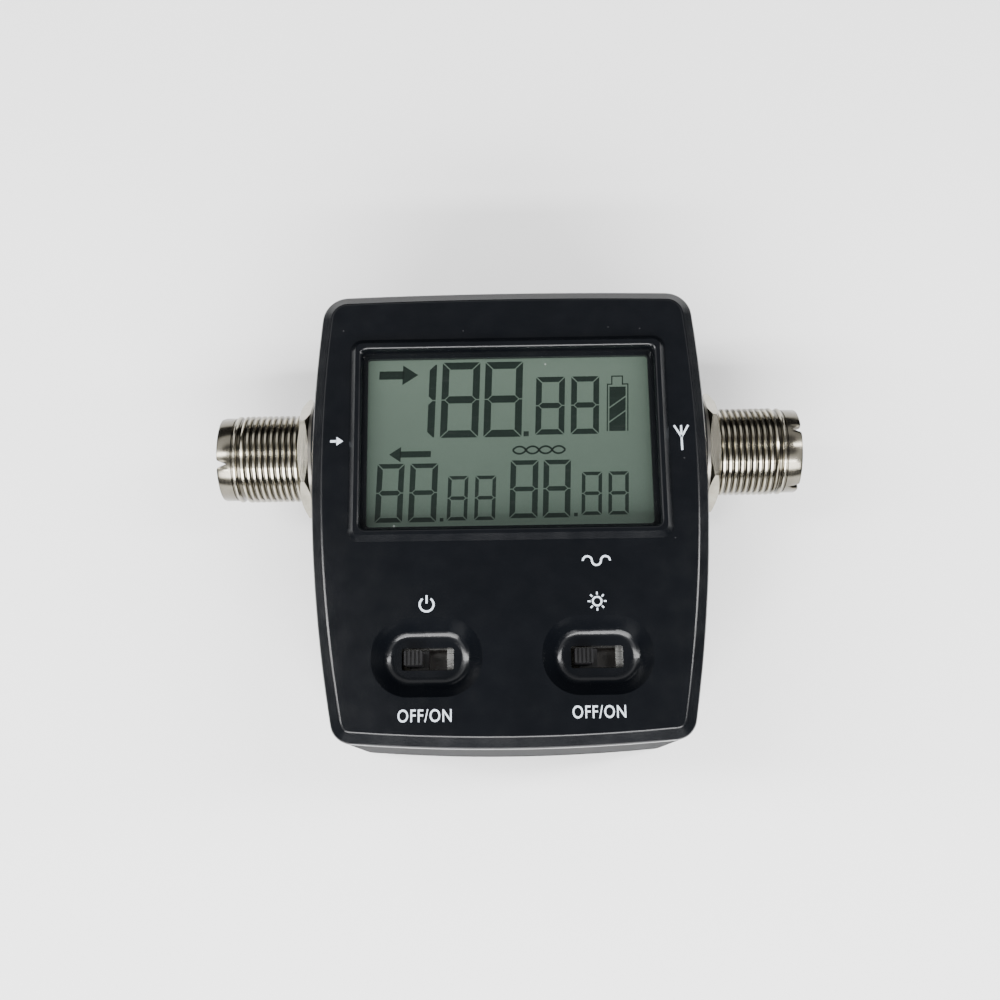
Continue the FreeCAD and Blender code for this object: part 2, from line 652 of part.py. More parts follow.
def rear_cover():
    """Shallow moulded tray with a tongue, screw columns and ribs for the battery."""
    body = new_body("rear_cover")
    outline = new_sketch(body, "XY_Plane")
    add_case_outline(outline, 0.0)
    solid = pad(body, outline, split)
    fillet(body, solid, edges_of(solid, lambda spot: abs(spot.z) < 1e-4), dim("back_round"))
    hollow = new_sketch(body, "XY_Plane", split)
    add_case_outline(hollow, dim("wall"))
    pocket(body, hollow, split - dim("wall"))

    tongue = new_sketch(body, "XY_Plane", dim("wall"))
    add_case_outline(tongue, dim("wall") + dim("fit_gap"))
    add_case_outline(tongue, dim("wall") + dim("fit_gap") + dim("lip_thick"))
    pad(body, tongue, split - dim("wall") + dim("lip_height"))
    root = new_sketch(body, "XY_Plane", dim("wall"))
    add_case_outline(root, dim("wall") / 2)
    add_case_outline(root, dim("wall") + dim("fit_gap") + dim("lip_thick") / 2)
    pad(body, root, split - dim("wall"))
    relief = new_sketch(body, "XY_Plane", split)
    for x, y in BOSSES:
        add_circle(relief, dim("boss_dia") / 2 + dim("fit_gap") * 2, x, y)
    pocket(body, relief, dim("lip_height") + 1, reversed=True)
    gate = new_sketch(body, "XY_Plane", split)
    add_box(gate, dim("case_width") * 1.1, dim("seat_dia") + 3, 0.0, jack_y)
    pocket(body, gate, dim("lip_height") + 1, reversed=True)

    columns = new_sketch(body, "XY_Plane", dim("wall") / 2)
    for x, y in BOSSES:
        add_circle(columns, dim("boss_dia") / 2, x, y)
    pad(body, columns, split - dim("wall") / 2)
    ribs = new_sketch(body, "XY_Plane", dim("wall") / 2)
    room = dim("fit_gap") * 2
    add_box(ribs, dim("cell_length") + room, cell_width + room, 0.0, cell_y)
    add_box(ribs, dim("cell_length") + room + dim("rib_thick") * 2,
            cell_width + room + dim("rib_thick") * 2, 0.0, cell_y)
    pad(body, ribs, dim("wall") / 2 + dim("rib_height"))

    shanks = new_sketch(body, "XY_Plane")
    for x, y in BOSSES:
        add_circle(shanks, dim("screw_dia") / 2 + dim("fit_gap"), x, y)
    pocket(body, shanks, split + 1, reversed=True)
    heads = new_sketch(body, "XY_Plane")
    for x, y in BOSSES:
        add_circle(heads, dim("screw_head") / 2 + dim("fit_gap") * 2, x, y)
    pocket(body, heads, dim("screw_sink") + dim("screw_head_height"), reversed=True)
    return keep(body, "rear_cover")


# ---------------------------------------------------------------- display

def window_pane():
    """Clear pane that drops into the raised frame."""
    body = plate("window_pane", pane_width - dim("fit_gap") * 2, pane_height - dim("fit_gap") * 2,
                 dim("pane_thick"), dim("pane_round") - dim("fit_gap"), 0.0, view_y,
                 face - pane_seat)
    top = (face - dim("pane_sink")).value
    chamfer(body, body.Tip, edges_of(body.Tip, lambda spot: abs(spot.z - top) < 1e-4),
            dim("pane_bevel"))
    return keep(body, "window_pane")


def lcd_glass():
    """Two-layer display cell; the lower glass stands out along both long edges for its contacts."""
    body = plate("lcd_glass", glass_width, glass_height, dim("glass_lower"), None,
                 0.0, view_y, glass_base)
    upper = new_sketch(body, "XY_Plane", glass_base + dim("glass_lower"))
    add_box(upper, glass_width, glass_height - dim("strip_width") * 2, 0.0, view_y)
    pad(body, upper, dim("glass_upper"))
    return keep(body, "lcd_glass")


def lcd_backlight():
    """Light guide between the glass and the board, between the two contact strips."""
    width = glass_width - dim("fit_gap") * 4
    height = glass_height - dim("strip_width") * 2 - dim("fit_gap") * 4
    body = plate("lcd_backlight", width, height, glass_base - board_top - 0.1, 0.8,
                 0.0, view_y, board_top + 0.05)
    return keep(body, "lcd_backlight")


def contact_strips():
    """Rubber contact strips along the display's top and bottom edges."""
    strips = []
    for side in MIRROR:
        strip = doc.addObject("Part::Box", "contact_strip")
        bind(strip, "Length", dim("view_width"))
        bind(strip, "Width", dim("strip_width") - 0.1)
        bind(strip, "Height", glass_base - board_top)
        centre = view_y + (glass_height - dim("strip_width")) / 2 * side
        place(strip, -(dim("view_width") / 2), centre - dim("strip_width") / 2 + 0.05,
              board_top)
        strips.append(strip)
    group = doc.addObject("Part::Compound", "contact_strips")
    group.Links = strips
    return keep(group, "contact_strips")


def lcd_holder():
    """Frame round the glass and the backlight, standing on the board."""
    body = new_body("lcd_holder")
    ring = new_sketch(body, "XY_Plane", board_top)
    room = dim("fit_gap") * 2
    add_rounded_box(ring, glass_width + room + dim("holder_wall") * 2,
                    glass_height + room + dim("holder_wall") * 2, 1.4, 0.0, view_y)
    add_box(ring, glass_width + room, glass_height + room, 0.0, view_y)
    pad(body, ring, glass_top - board_top)
    return keep(body, "lcd_holder")


def display_board():
    """Circuit board behind the display, with a tab that carries the charging socket."""
    body = new_body("display_board")
    outline = new_sketch(body, "XY_Plane", board_under)
    half, tab = board_half, tab_half
    low, shoulder = dim("board_lower") - top_edge, top_edge - dim("board_upper")
    high = shoulder + dim("tab_reach")
    add_polygon(outline, [(-half, low), (half, low), (half, shoulder), (tab, shoulder),
                          (tab, high), (-tab, high), (-tab, shoulder), (-half, shoulder)])
    pad(body, outline, dim("board_thick"))
    holes = new_sketch(body, "XY_Plane", board_top)
    for x, y in POSTS:
        add_circle(holes, dim("small_screw") / 2 + dim("fit_gap"), x, y)
    for side in MIRROR:
        for step in (-1, 0, 1):
            add_circle(holes, dim("pin_dia") / 2 + dim("fit_gap"),
                       dim("switch_x") * side + dim("pin_pitch") * step, switch_y)
    pocket(body, holes)
    return keep(body, "display_board")


def controller_chip():
    body = plate("controller_chip", dim("chip_size"), dim("chip_size"), dim("chip_thick"), None,
                 0.0, chip_y, board_under - dim("chip_thick"))
    return keep(body, "controller_chip")


def charge_socket():
    """Metal shell of the charging socket, under the board's tab."""
    body = new_body("charge_socket")
    shell = new_sketch(body, "XZ_Plane", -(port_y) - dim("port_length") / 2)
    add_rounded_box(shell, dim("port_width"), dim("port_height"), 0.7, 0.0, port_z)
    pad(body, shell, dim("port_length"))
    mouth = new_sketch(body, "XZ_Plane", -(port_y) - dim("port_length") / 2)
    add_rounded_box(mouth, dim("port_width") - dim("port_sheet") * 2,
                    dim("port_height") - dim("port_sheet") * 2, 0.4, 0.0, port_z)
    pocket(body, mouth, dim("port_length") - dim("port_wall"), reversed=True)
    tongue = new_sketch(body, "XZ_Plane", -(port_y) - dim("port_length") / 2 + dim("tongue_sink"))
    add_box(tongue, dim("port_width") - dim("tongue_side") * 2, dim("tongue_thick"), 0.0, port_z)
    pad(body, tongue, dim("port_length") - dim("tongue_sink") * 2)
    return keep(body, "charge_socket")


# ---------------------------------------------------------------- slide switches

def slide_switch(name, side):
    """Sheet metal shell and terminal plate of one slide switch, and the knob that it holds."""
    x, y = dim("switch_x") * side, switch_y
    height = switch_top - board_top
    inner_length = dim("shell_length") - dim("shell_sheet") * 2
    inner_width = dim("shell_width") - dim("shell_sheet") * 2

    shell = plate(name + "_switch_shell", dim("shell_length"), dim("shell_width"), height, 0.6,
                  x, y, board_top)
    hollow = new_sketch(shell, "XY_Plane", board_top)
    add_box(hollow, inner_length, inner_width, x, y)
    pocket(shell, hollow, height - dim("shell_sheet"), reversed=True)
    slot = new_sketch(shell, "XY_Plane", switch_top)
    add_box(slot, slot_length - dim("window_end") * 2, slot_width - dim("window_side") * 2, x, y)
    pocket(shell, slot, dim("shell_sheet") + 0.5)
    keep(shell, name + "_switch_shell")

    base = plate(name + "_switch_base", inner_length - 0.1, inner_width - 0.1, dim("switch_plate"),
                 None, x, y, board_top)
    pins = new_sketch(base, "XY_Plane", board_top)
    for step in (-1, 0, 1):
        add_circle(pins, dim("pin_dia") / 2, x + dim("pin_pitch") * step, y)
    pad(base, pins, dim("pin_length"), reversed=True)
    keep(base, name + "_switch_base")

    rest = x - dim("knob_travel") / 2
    foot_low = board_top + dim("switch_plate") + dim("foot_gap")
    foot_high = switch_top - dim("shell_sheet") - dim("foot_gap")
    knob = plate(name + "_knob", dim("foot_length"), dim("foot_width"), foot_high - foot_low, None,
                 rest, y, foot_low)
    head_low = switch_top + dim("fit_gap")
    neck = new_sketch(knob, "XY_Plane", foot_low)
    add_box(neck, dim("neck_along"), dim("neck_across"), rest, y)
    pad(knob, neck, head_low - foot_low + sink)
    head = new_sketch(knob, "XY_Plane", head_low)
    add_rounded_box(head, dim("knob_length"), dim("knob_width"), dim("knob_round"), rest, y)
    pad(knob, head, face - dim("knob_sink") - head_low)
    grooves = new_sketch(knob, "XY_Plane", face - dim("knob_sink"))
    land = dim("knob_length") / 9
    for step in (-3, -1, 1, 3):
        add_box(grooves, land, dim("knob_width") + 1, rest + land * step, y)
    pocket(knob, grooves, dim("knob_rib"))
    keep(knob, name + "_knob")


# ---------------------------------------------------------------- jacks

def jack(name, side):
    """One UHF jack along its own X axis, then turned to its side of the case."""
    half_turn = FreeCAD.Rotation(FreeCAD.Vector(0, 0, 1), 0 if side > 0 else 180)
    notch_turn = FreeCAD.Rotation(FreeCAD.Vector(1, 0, 0), side * NOTCH_TURNS[name])
    thread, relief = dim("thread_dia") / 2, dim("thread_relief")
    thread_start = thread_x + dim("thread_start")
    thread_end = thread_start + dim("thread_length")
    neck_end = thread_end + dim("neck_length")
    bore = dim("bore_dia") / 2
    edge = dim("mouth_edge")

    shell = new_body(name + "_jack_shell")
    profile = new_sketch(shell, "XY_Plane")
    add_polygon(profile, [
        (flange_x - dim("flange_thick"), bore),
        (flange_x - dim("flange_thick"), dim("flange_dia") / 2),
        (flange_x, dim("flange_dia") / 2),
        (flange_x, thread - relief),
        (thread_start, thread - relief),
        (thread_start, thread),
        (thread_end, thread),
        (thread_end, dim("mouth_neck") / 2),
        (neck_end, dim("mouth_neck") / 2),
        (neck_end, dim("mouth_dia") / 2),
        (tip_x - edge, dim("mouth_dia") / 2),
        (tip_x, dim("mouth_dia") / 2 - edge),
        (tip_x, bore),
    ])
    revolve(shell, profile)
    for turn in range(2):
        notch = new_sketch(shell, "YZ_Plane", tip_x)
        long_side = dim("thread_dia") + 2
        sizes = (long_side, dim("notch_width")) if turn else (dim("notch_width"), long_side)
        add_box(notch, *sizes)
        pocket(shell, notch, dim("notch_depth"))
    place(shell, None, jack_y, dim("jack_z"), half_turn * notch_turn)
    keep(shell, name + "_jack_shell")

    insulator = new_body(name + "_insulator")
    section = new_sketch(insulator, "XY_Plane")
    core = dim("contact_dia") / 2 + 0.05
    front = tip_x - dim("insulator_sink")
    rear = flange_x - dim("flange_thick")
    add_polygon(section, [
        (rear - dim("insulator_tail"), core),
        (rear - dim("insulator_tail"), bore - dim("tail_inset")),
        (rear, bore - dim("tail_inset")),
        (rear, bore - 0.05),
        (front, bore - 0.05),
        (front, core),
    ])
    revolve(insulator, section)
    place(insulator, None, jack_y, dim("jack_z"), half_turn)
    keep(insulator, name + "_insulator")

    contact = new_body(name + "_contact")
    section = new_sketch(contact, "XY_Plane")
    end = tip_x - dim("contact_sink")
    tail = rear - dim("contact_tail")
    add_polygon(section, [
        (tail, 0.0),
        (tail, dim("contact_dia") / 2),
        (end, dim("contact_dia") / 2),
        (end, dim("contact_bore") / 2),
        (end - dim("contact_depth"), dim("contact_bore") / 2),
        (end - dim("contact_depth"), 0.0),
    ])
    revolve(contact, section)
    place(contact, None, jack_y, dim("jack_z"), half_turn)
    keep(contact, name + "_contact")

    washer = new_body(name + "_washer")
    ring = new_sketch(washer, "YZ_Plane", seat_x)
    add_circle(ring, dim("washer_dia") / 2)
    add_circle(ring, hole_dia / 2)
    pad(washer, ring, dim("washer_thick"))
    place(washer, None, jack_y, dim("jack_z"), half_turn)
    keep(washer, name + "_washer")

    nut = new_body(name + "_nut")
    section = new_sketch(nut, "XY_Plane")
    corner = dim("nut_flats") / ROOT3
    cut = corner - dim("nut_flats") / 2
    add_polygon(section, [
        (nut_x, thread + dim("nut_clear")),
        (nut_x, corner - cut),
        (nut_x + cut * 0.45, corner),
        (thread_x - cut * 0.45, corner),
        (thread_x, corner - cut),
        (thread_x, thread + dim("nut_clear")),
    ])
    revolve(nut, section)
    flats = new_sketch(nut, "YZ_Plane", nut_x - 1)
    add_circle(flats, corner + 2)
    turn = math.radians(NUT_TURN if side > 0 else -NUT_TURN)
    add_polygon(flats, [(corner * math.cos(turn + step * math.pi / 3),
                         corner * math.sin(turn + step * math.pi / 3)) for step in range(6)])
    pocket(nut, flats, dim("nut_thick") + 2, reversed=True)
    place(nut, None, jack_y, dim("jack_z"), half_turn)
    keep(nut, name + "_nut")


# ---------------------------------------------------------------- coupler and power

def rf_tray():
    """Folded sheet tray whose end plates the two jacks clamp to the case."""
    body = new_body("rf_tray")
    sheet_thick = dim("tray_sheet")
    outline = new_sketch(body, "XZ_Plane")
    top, base = board_under - dim("tray_top"), dim("tray_base")
    add_polygon(outline, [
        (-seat_in, base), (seat_in, base), (seat_in, top), (seat_in - sheet_thick, top),
        (seat_in - sheet_thick, base + sheet_thick), (sheet_thick - seat_in, base + sheet_thick),
        (sheet_thick - seat_in, top), (-seat_in, top),
    ])
    pad(body, outline, dim("tray_width"), symmetric=True)
    holes = new_sketch(body, "YZ_Plane")
    add_circle(holes, hole_dia / 2, 0.0, dim("jack_z"))
    pocket(body, holes, dim("case_width") * 1.2, symmetric=True)
    sides = new_sketch(body, "XY_Plane", base)
    for side in MIRROR:
        add_box(sides, dim("coupler_length"), sheet_thick, 0.0,
                (dim("tray_width") - sheet_thick) / 2 * side)
    pad(body, sides, dim("tray_side"))
    spacers = new_sketch(body, "XY_Plane", base + sheet_thick / 2)
    for side in MIRROR:
        add_circle(spacers, dim("spacer_dia") / 2, coupler_hole * side, 0.0)
    pad(body, spacers, dim("coupler_lift") + sheet_thick / 2)
    taps = new_sketch(body, "XY_Plane", base)
    for side in MIRROR:
        add_circle(taps, dim("small_screw") / 2, coupler_hole * side, 0.0)
    pocket(body, taps, dim("coupler_lift") + sheet_thick + 1, reversed=True)
    place(body, None, jack_y)
    return keep(body, "rf_tray")


def coupler_board():
    body = plate("coupler_board", dim("coupler_length"), dim("coupler_width"), dim("board_thick"),
                 None, 0.0, jack_y, coupler_base)
    holes = new_sketch(body, "XY_Plane", coupler_top)
    for side in MIRROR:
        add_circle(holes, dim("small_screw") / 2 + dim("fit_gap"),
                   coupler_hole * side, jack_y)
    pocket(body, holes)
    return keep(body, "coupler_board")


def through_line():
    """Conductor soldered between the two centre contacts, with the sleeve that carries a core."""
    body = new_body("through_line")
    section = new_sketch(body, "XY_Plane")
    end = flange_x - dim("flange_thick") - dim("contact_tail")
    sleeve = dim("core_width") / 2 + dim("core_gap")
    middle = -(dim("core_width") + dim("core_gap"))
    add_polygon(section, [
        (-end, 0.0), (-end, dim("line_dia") / 2), (middle - sleeve, dim("line_dia") / 2),
        (middle - sleeve, dim("core_bore") / 2 - 0.05), (middle + sleeve, dim("core_bore") / 2 - 0.05),
        (middle + sleeve, dim("line_dia") / 2), (end, dim("line_dia") / 2), (end, 0.0),
    ])
    revolve(body, section)
    place(body, None, jack_y, dim("jack_z"))
    return keep(body, "through_line")


def toroid(name, rotation, x, y, z):
    """Toroid core with rounded edges; its axis is X until it is turned."""
    body = new_body(name)
    ring = new_sketch(body, "YZ_Plane")
    add_circle(ring, dim("core_dia") / 2)
    add_circle(ring, dim("core_bore") / 2)
    solid = pad(body, ring, dim("core_width"), symmetric=True)
    half = dim("core_width").value / 2
    rims = edges_of(solid, lambda spot: abs(abs(spot.x) - half) < 1e-4
                    and math.hypot(spot.y, spot.z) > dim("core_bore").value / 2 + 0.5)
    fillet(body, solid, rims, dim("core_round"))
    place(body, x, y, z, rotation)
    return keep(body, name)


def board_link():
    """Plug and socket on pins that join the two boards."""
    body = plate("board_link", dim("link_length"), dim("link_width"), dim("link_block"), None,
                 0.0, link_y, coupler_top)
    upper = new_sketch(body, "XY_Plane", board_under - dim("link_block"))
    add_box(upper, dim("link_length"), dim("link_width"), 0.0, link_y)
    pad(body, upper, dim("link_block"))
    pins = new_sketch(body, "XY_Plane", coupler_top + dim("link_block") / 2)
    for step in (-1.5, -0.5, 0.5, 1.5):
        add_box(pins, dim("link_pin"), dim("link_pin"), dim("link_pitch") * step, link_y)
    pad(body, pins, board_under - coupler_top - dim("link_block"))
    return keep(body, "board_link")


def battery():
    """Flat cell with rounded long edges, on a sticky pad in the rear cover."""
    pad_piece = plate("battery_pad", dim("cell_length") - dim("pad_inset") * 2,
                      cell_width - dim("pad_inset") * 2,
                      dim("pad_thick"), None, 0.0, cell_y, dim("wall"))
    keep(pad_piece, "battery_pad")
    cell = new_body("battery_cell")
    low = dim("wall") + dim("pad_thick")
    section = new_sketch(cell, "YZ_Plane")
    add_rounded_box(section, cell_width, dim("cell_thick"), dim("cell_round"),
                    cell_y, low + dim("cell_thick") / 2)
    pad(cell, section, dim("cell_length"), symmetric=True)
    keep(cell, "battery_cell")


# ---------------------------------------------------------------- screws

def screw_group(name, places, shank, length, head, head_height, z, upwards):
    """Pan-head screws as separate solids: each head is under z if the shank points up."""
    solids = []
    for x, y in places:
        body = new_body(name + "_piece")
        section = new_sketch(body, "XY_Plane")
        add_polygon(section, [
            (0.0, 0.0), (0.0, shank / 2), (-as_size(length), shank / 2), (-as_size(length), 0.0),
        ])
        revolve(body, section)
        cap = new_sketch(body, "XY_Plane")
        add_polygon(cap, [
            (0.0, 0.0), (head_height, 0.0), (head_height, head / 2 - 0.4),
            (head_height - 0.4, head / 2), (0.0, head / 2),
        ])
        revolve(body, cap)
        turn = FreeCAD.Rotation(FreeCAD.Vector(0, 1, 0), 90 if upwards else -90)
        place(body, x, y, z, turn)
        solids.append(body)
    group = doc.addObject("Part::Compound", name)
    group.Links = solids
    return keep(group, name)


# ---------------------------------------------------------------- assembly

front_housing()
rear_cover()
window_pane()
lcd_glass()
lcd_backlight()
contact_strips()
lcd_holder()
display_board()
controller_chip()
charge_socket()
slide_switch("power", -1)
slide_switch("light", 1)
jack("tx", -1)
jack("ant", 1)
rf_tray()
coupler_board()
through_line()
toroid("current_core", None, -(dim("core_width") + dim("core_gap")), jack_y, dim("jack_z"))
toroid("voltage_core", FreeCAD.Rotation(FreeCAD.Vector(0, 1, 0), 90), dim("core_side"),
       jack_y, coupler_top + dim("core_width") / 2)
board_link()
battery()
screw_group("case_screws", BOSSES, dim("screw_dia"),
            split - dim("screw_sink") - dim("screw_head_height") + dim("screw_bite"),
            dim("screw_head"), dim("screw_head_height"),
            dim("screw_sink") + dim("screw_head_height"), True)
screw_group("board_screws", POSTS, dim("small_screw"), dim("board_thick") + dim("small_bite"),
            dim("small_head"), dim("small_head_height"), board_under, True)
COUPLER_HOLES = [(coupler_hole * side, jack_y) for side in MIRROR]
screw_group("coupler_screws", COUPLER_HOLES, dim("small_screw"),
            dim("board_thick") + dim("coupler_lift") + dim("tray_sheet"),
            dim("small_head"), dim("small_head_height"), coupler_top, False)

doc.recompute()
for item in doc.Objects:
    if "Invalid" in item.State or "Error" in item.State:
        raise RuntimeError("failed: %s %s" % (item.Name, item.State))
for part in PARTS:
    if part.Shape.isNull() or not part.Shape.isValid():
        raise RuntimeError("no valid shape: " + part.Label)
for part in PARTS:
    part.Shape.exportStep("parts/%s.step" % part.Label)
    box = part.Shape.BoundBox
    print("%-20s %2d solid  %9.1f mm3  x %.1f..%.1f  y %.1f..%.1f  z %.1f..%.1f" % (
        part.Label, len(part.Shape.Solids), part.Shape.Volume,
        box.XMin, box.XMax, box.YMin, box.YMax, box.ZMin, box.ZMax))
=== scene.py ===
"""The looks of a handheld SWR and power meter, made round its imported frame."""

import math

import bmesh
import bpy
from mathutils import Matrix, Vector


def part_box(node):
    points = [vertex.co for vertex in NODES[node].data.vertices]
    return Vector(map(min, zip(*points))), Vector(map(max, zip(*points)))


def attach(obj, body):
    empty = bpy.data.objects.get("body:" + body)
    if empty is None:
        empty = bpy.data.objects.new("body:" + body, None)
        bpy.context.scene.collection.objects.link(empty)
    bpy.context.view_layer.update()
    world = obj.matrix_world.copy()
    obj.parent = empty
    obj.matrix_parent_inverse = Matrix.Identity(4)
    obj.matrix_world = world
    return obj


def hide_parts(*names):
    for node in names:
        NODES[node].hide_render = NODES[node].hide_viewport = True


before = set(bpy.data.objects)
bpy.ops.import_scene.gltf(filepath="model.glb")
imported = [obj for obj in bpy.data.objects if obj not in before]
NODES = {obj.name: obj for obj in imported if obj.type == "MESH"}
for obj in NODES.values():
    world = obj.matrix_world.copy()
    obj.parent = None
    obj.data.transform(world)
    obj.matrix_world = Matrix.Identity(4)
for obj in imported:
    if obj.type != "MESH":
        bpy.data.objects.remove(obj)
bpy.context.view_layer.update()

MM = 0.001

# Lengths are in mm, but for those that MM turns into metres.
FRAME_HEIGHT = 1.1          # the raised window frame above the face
PRINT_THICK = 0.02          # print and display segments
SEGMENT_GAP = 0.005         # from the display's glass to its segments
WELD = 1e-7                 # points this near each other are one, in metres
HAIR = 1e-6                 # and a slack in metres that is still too small to see

THREAD_PITCH = 1.0583       # 5/8-24
THREAD_CREST = 7.9375
THREAD_ROOT = 7.42
# Painted shade in the thread roots, fading out between these radii.
ROOT_SHADE_FROM, ROOT_SHADE_TO = THREAD_ROOT + 0.1, THREAD_CREST - 0.12

MATTE_START = 3.2           # the case's sides turn matte from this far below the face
MATTE_FADE = 2.0            # over this height

# The switch shells' painted shade ends this far from a switch's middle, leaving the ON end bright.
SLOT_END = 3.1              # from a switch's middle to the bright end of its shell
SLOT_SIDE = 1.6             # and to the edges of the slot above and below the knob


def face_height():
    """The height of the case's flat face, in metres."""
    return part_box("front_housing")[1].z - FRAME_HEIGHT * MM


def jack_axis():
    """The Y and Z of the jacks' axis, in metres."""
    low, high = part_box("ant_jack_shell")
    return (low.y + high.y) / 2, (low.z + high.z) / 2


def shaded_thread_roots(made):
    """Painted shade in the jacks' thread roots, fading to plain metal on the crests."""
    return made.span(made.away_from(*jack_axis()), ROOT_SHADE_FROM, ROOT_SHADE_TO, 0.0, 1.0)


# ---------------------------------------------------------------- finishes

class Finish:
    """A material in the making: its surface shader, and the nodes that vary it over the piece."""

    def __init__(self, name, **constants):
        self.material = bpy.data.materials.new(name)
        self.material.use_nodes = True
        self.tree = self.material.node_tree
        self.surface = self.tree.nodes["Principled BSDF"]
        self.spot = self.node("ShaderNodeTexCoord").outputs["Object"]
        for socket, value in constants.items():
            self.surface.inputs[socket.replace("_", " ")].default_value = value

    def node(self, kind, **inputs):
        """A new node with some of its inputs set or linked, named with _ for a space."""
        made = self.tree.nodes.new(kind)
        for socket, value in inputs.items():
            self.feed(made.inputs[socket.replace("_", " ")], value)
        return made

    def feed(self, socket, value):
        """Links a node's output to the socket, or sets it to a plain value."""
        if isinstance(value, bpy.types.NodeSocket):
            self.tree.links.new(value, socket)
        else:
            socket.default_value = value

    def away_from(self, axis_y, axis_z):
        """How far each point lies from a line along X, in mm."""
        across = self.node("ShaderNodeMapping", Vector=self.spot, Scale=(0.0, 1000.0, 1000.0),
                           Location=(0.0, -1000.0 * axis_y, -1000.0 * axis_z)).outputs["Vector"]
        length = self.node("ShaderNodeVectorMath", Vector=across)
        length.operation = "LENGTH"
        return length.outputs["Value"]

    def drawn_out(self, x=1.0, y=1.0, z=1.0):
        """The piece's coordinates, which draw a pattern out along the axes of a small number."""
        return self.node("ShaderNodeMapping", Vector=self.spot, Scale=(x, y, z)).outputs["Vector"]

    def grain(self, size, detail=3.0, rough=0.55, along=None):
        """Soft noise from 0 to 1 whose features are about size mm across."""
        return self.node("ShaderNodeTexNoise", Vector=along or self.spot, Scale=1 / (size * MM),
                         Detail=detail, Roughness=rough).outputs["Fac"]

    def specks(self, size, share):
        """1 on small scattered specks and 0 elsewhere; share is how many of the cells have one."""
        cells = self.node("ShaderNodeTexVoronoi", Vector=self.spot, Scale=1 / (size * MM))
        near = self.span(cells.outputs["Distance"], 0.1, 0.16, 1.0, 0.0)
        some = self.node("ShaderNodeSeparateColor", Color=cells.outputs["Color"]).outputs["Red"]
        chosen = self.span(some, 1 - share, 1 - share + 0.001, 0.0, 1.0)
        return self.sums("MULTIPLY", near, chosen)

    def sums(self, work, first, second):
        """first and second put together, as in ADD or MULTIPLY."""
        made = self.node("ShaderNodeMath")
        made.operation = work
        self.feed(made.inputs[0], first)
        self.feed(made.inputs[1], second)
        return made.outputs["Value"]

    def span(self, value, low, high, to_low, to_high):
        """value, taken from the stretch low to high onto the stretch to_low to to_high."""
        return self.node("ShaderNodeMapRange", Value=value, From_Min=low, From_Max=high,
                         To_Min=to_low, To_Max=to_high).outputs["Result"]

    def blend(self, share, first, second):
        """Colour first, turning into second as share goes from 0 to 1."""
        made = self.node("ShaderNodeMix")
        made.data_type = "RGBA"
        self.feed(made.inputs["Factor"], share)
        self.feed(made.inputs["A"], as_colour(first))
        self.feed(made.inputs["B"], as_colour(second))
        return made.outputs["Result"]

    def colour(self, value):
        """Gives the surface this colour."""
        self.feed(self.surface.inputs["Base Color"], value)

    def roughness(self, value, low, high):
        """Makes the surface as rough as low to high, where a soft noise runs its middle range."""
        self.feed(self.surface.inputs["Roughness"], self.span(value, 0.3, 0.7, low, high))

    def relief(self, *layers):
        """Bumps: each layer is a height from 0 to 1 and its depth in mm."""
        under = None
        for height, depth in layers:
            bump = self.node("ShaderNodeBump", Height=height, Strength=1.0, Distance=depth * MM)
            if under:
                self.feed(bump.inputs["Normal"], under)
            under = bump.outputs["Normal"]
        self.feed(self.surface.inputs["Normal"], under)


def as_colour(value):
    """A socket as it is, or a plain colour with its alpha."""
    return value if isinstance(value, bpy.types.NodeSocket) else (*value, 1.0)


def moulded_plastic(name, dark, light, gloss, grain_size=0.5, depth=0.006, dust=0.02,
                    matte_below=None, **constants):
    """Moulded plastic: a fine mould texture, uneven gloss, and a little dust.

    dust is the share of spots that hold a speck. Below the height matte_below, in metres,
    the mould was left matte.
    """
    made = Finish(name, **constants)
    tone = made.blend(made.grain(9.0), dark, light)
    dusty = tuple(channel + 0.025 for channel in light)
    made.colour(made.blend(made.sums("MULTIPLY", made.specks(1.1, dust), 0.6), tone, dusty))
    uneven = made.span(made.grain(4.0, 5.0), 0.3, 0.7, *gloss)
    if matte_below:
        height = made.node("ShaderNodeSeparateXYZ", Vector=made.spot).outputs["Z"]
        rougher = made.span(height, matte_below - MATTE_FADE * MM, matte_below, 0.7, 0.0)
        uneven = made.sums("ADD", uneven, rougher)
    made.feed(made.surface.inputs["Roughness"], uneven)
    made.relief((made.grain(grain_size, 2.0), depth), (made.grain(14.0, 1.0), depth))
    return made.material


def plated_metal(name, dark, light, gloss, turned=False, unshaded_share=None, painted_shade_colour=(0.085, 0.078, 0.062),
                 **constants):
    """Plated metal: soft clouds of tarnish, and fine scratches, or turning marks on a round piece.

    unshaded_share gives the share, from 0 to 1, of each point that is free of the painted shade in
    painted_shade_colour.
    """
    made = Finish(name, Metallic=1.0, **constants)
    clouds = made.grain(5.0, 5.0, 0.6)
    tone = made.blend(made.span(clouds, 0.35, 0.7, 0.0, 1.0), light, dark)
    # Painted shade: the metal turns to painted_shade_colour where unshaded_share is 0.
    if unshaded_share:
        tone = made.blend(unshaded_share(made), painted_shade_colour, tone)
    made.colour(tone)
    lines = made.drawn_out(1.0, 0.04, 0.04) if turned else made.drawn_out(0.06, 1.0, 1.0)
    marks = made.grain(0.25, 2.0, along=lines)
    made.roughness(made.sums("ADD", made.sums("MULTIPLY", clouds, 0.5),
                             made.sums("MULTIPLY", marks, 0.5)), *gloss)
    made.relief((marks, 0.004), (made.grain(0.6, 3.0), 0.003))
    return made.material


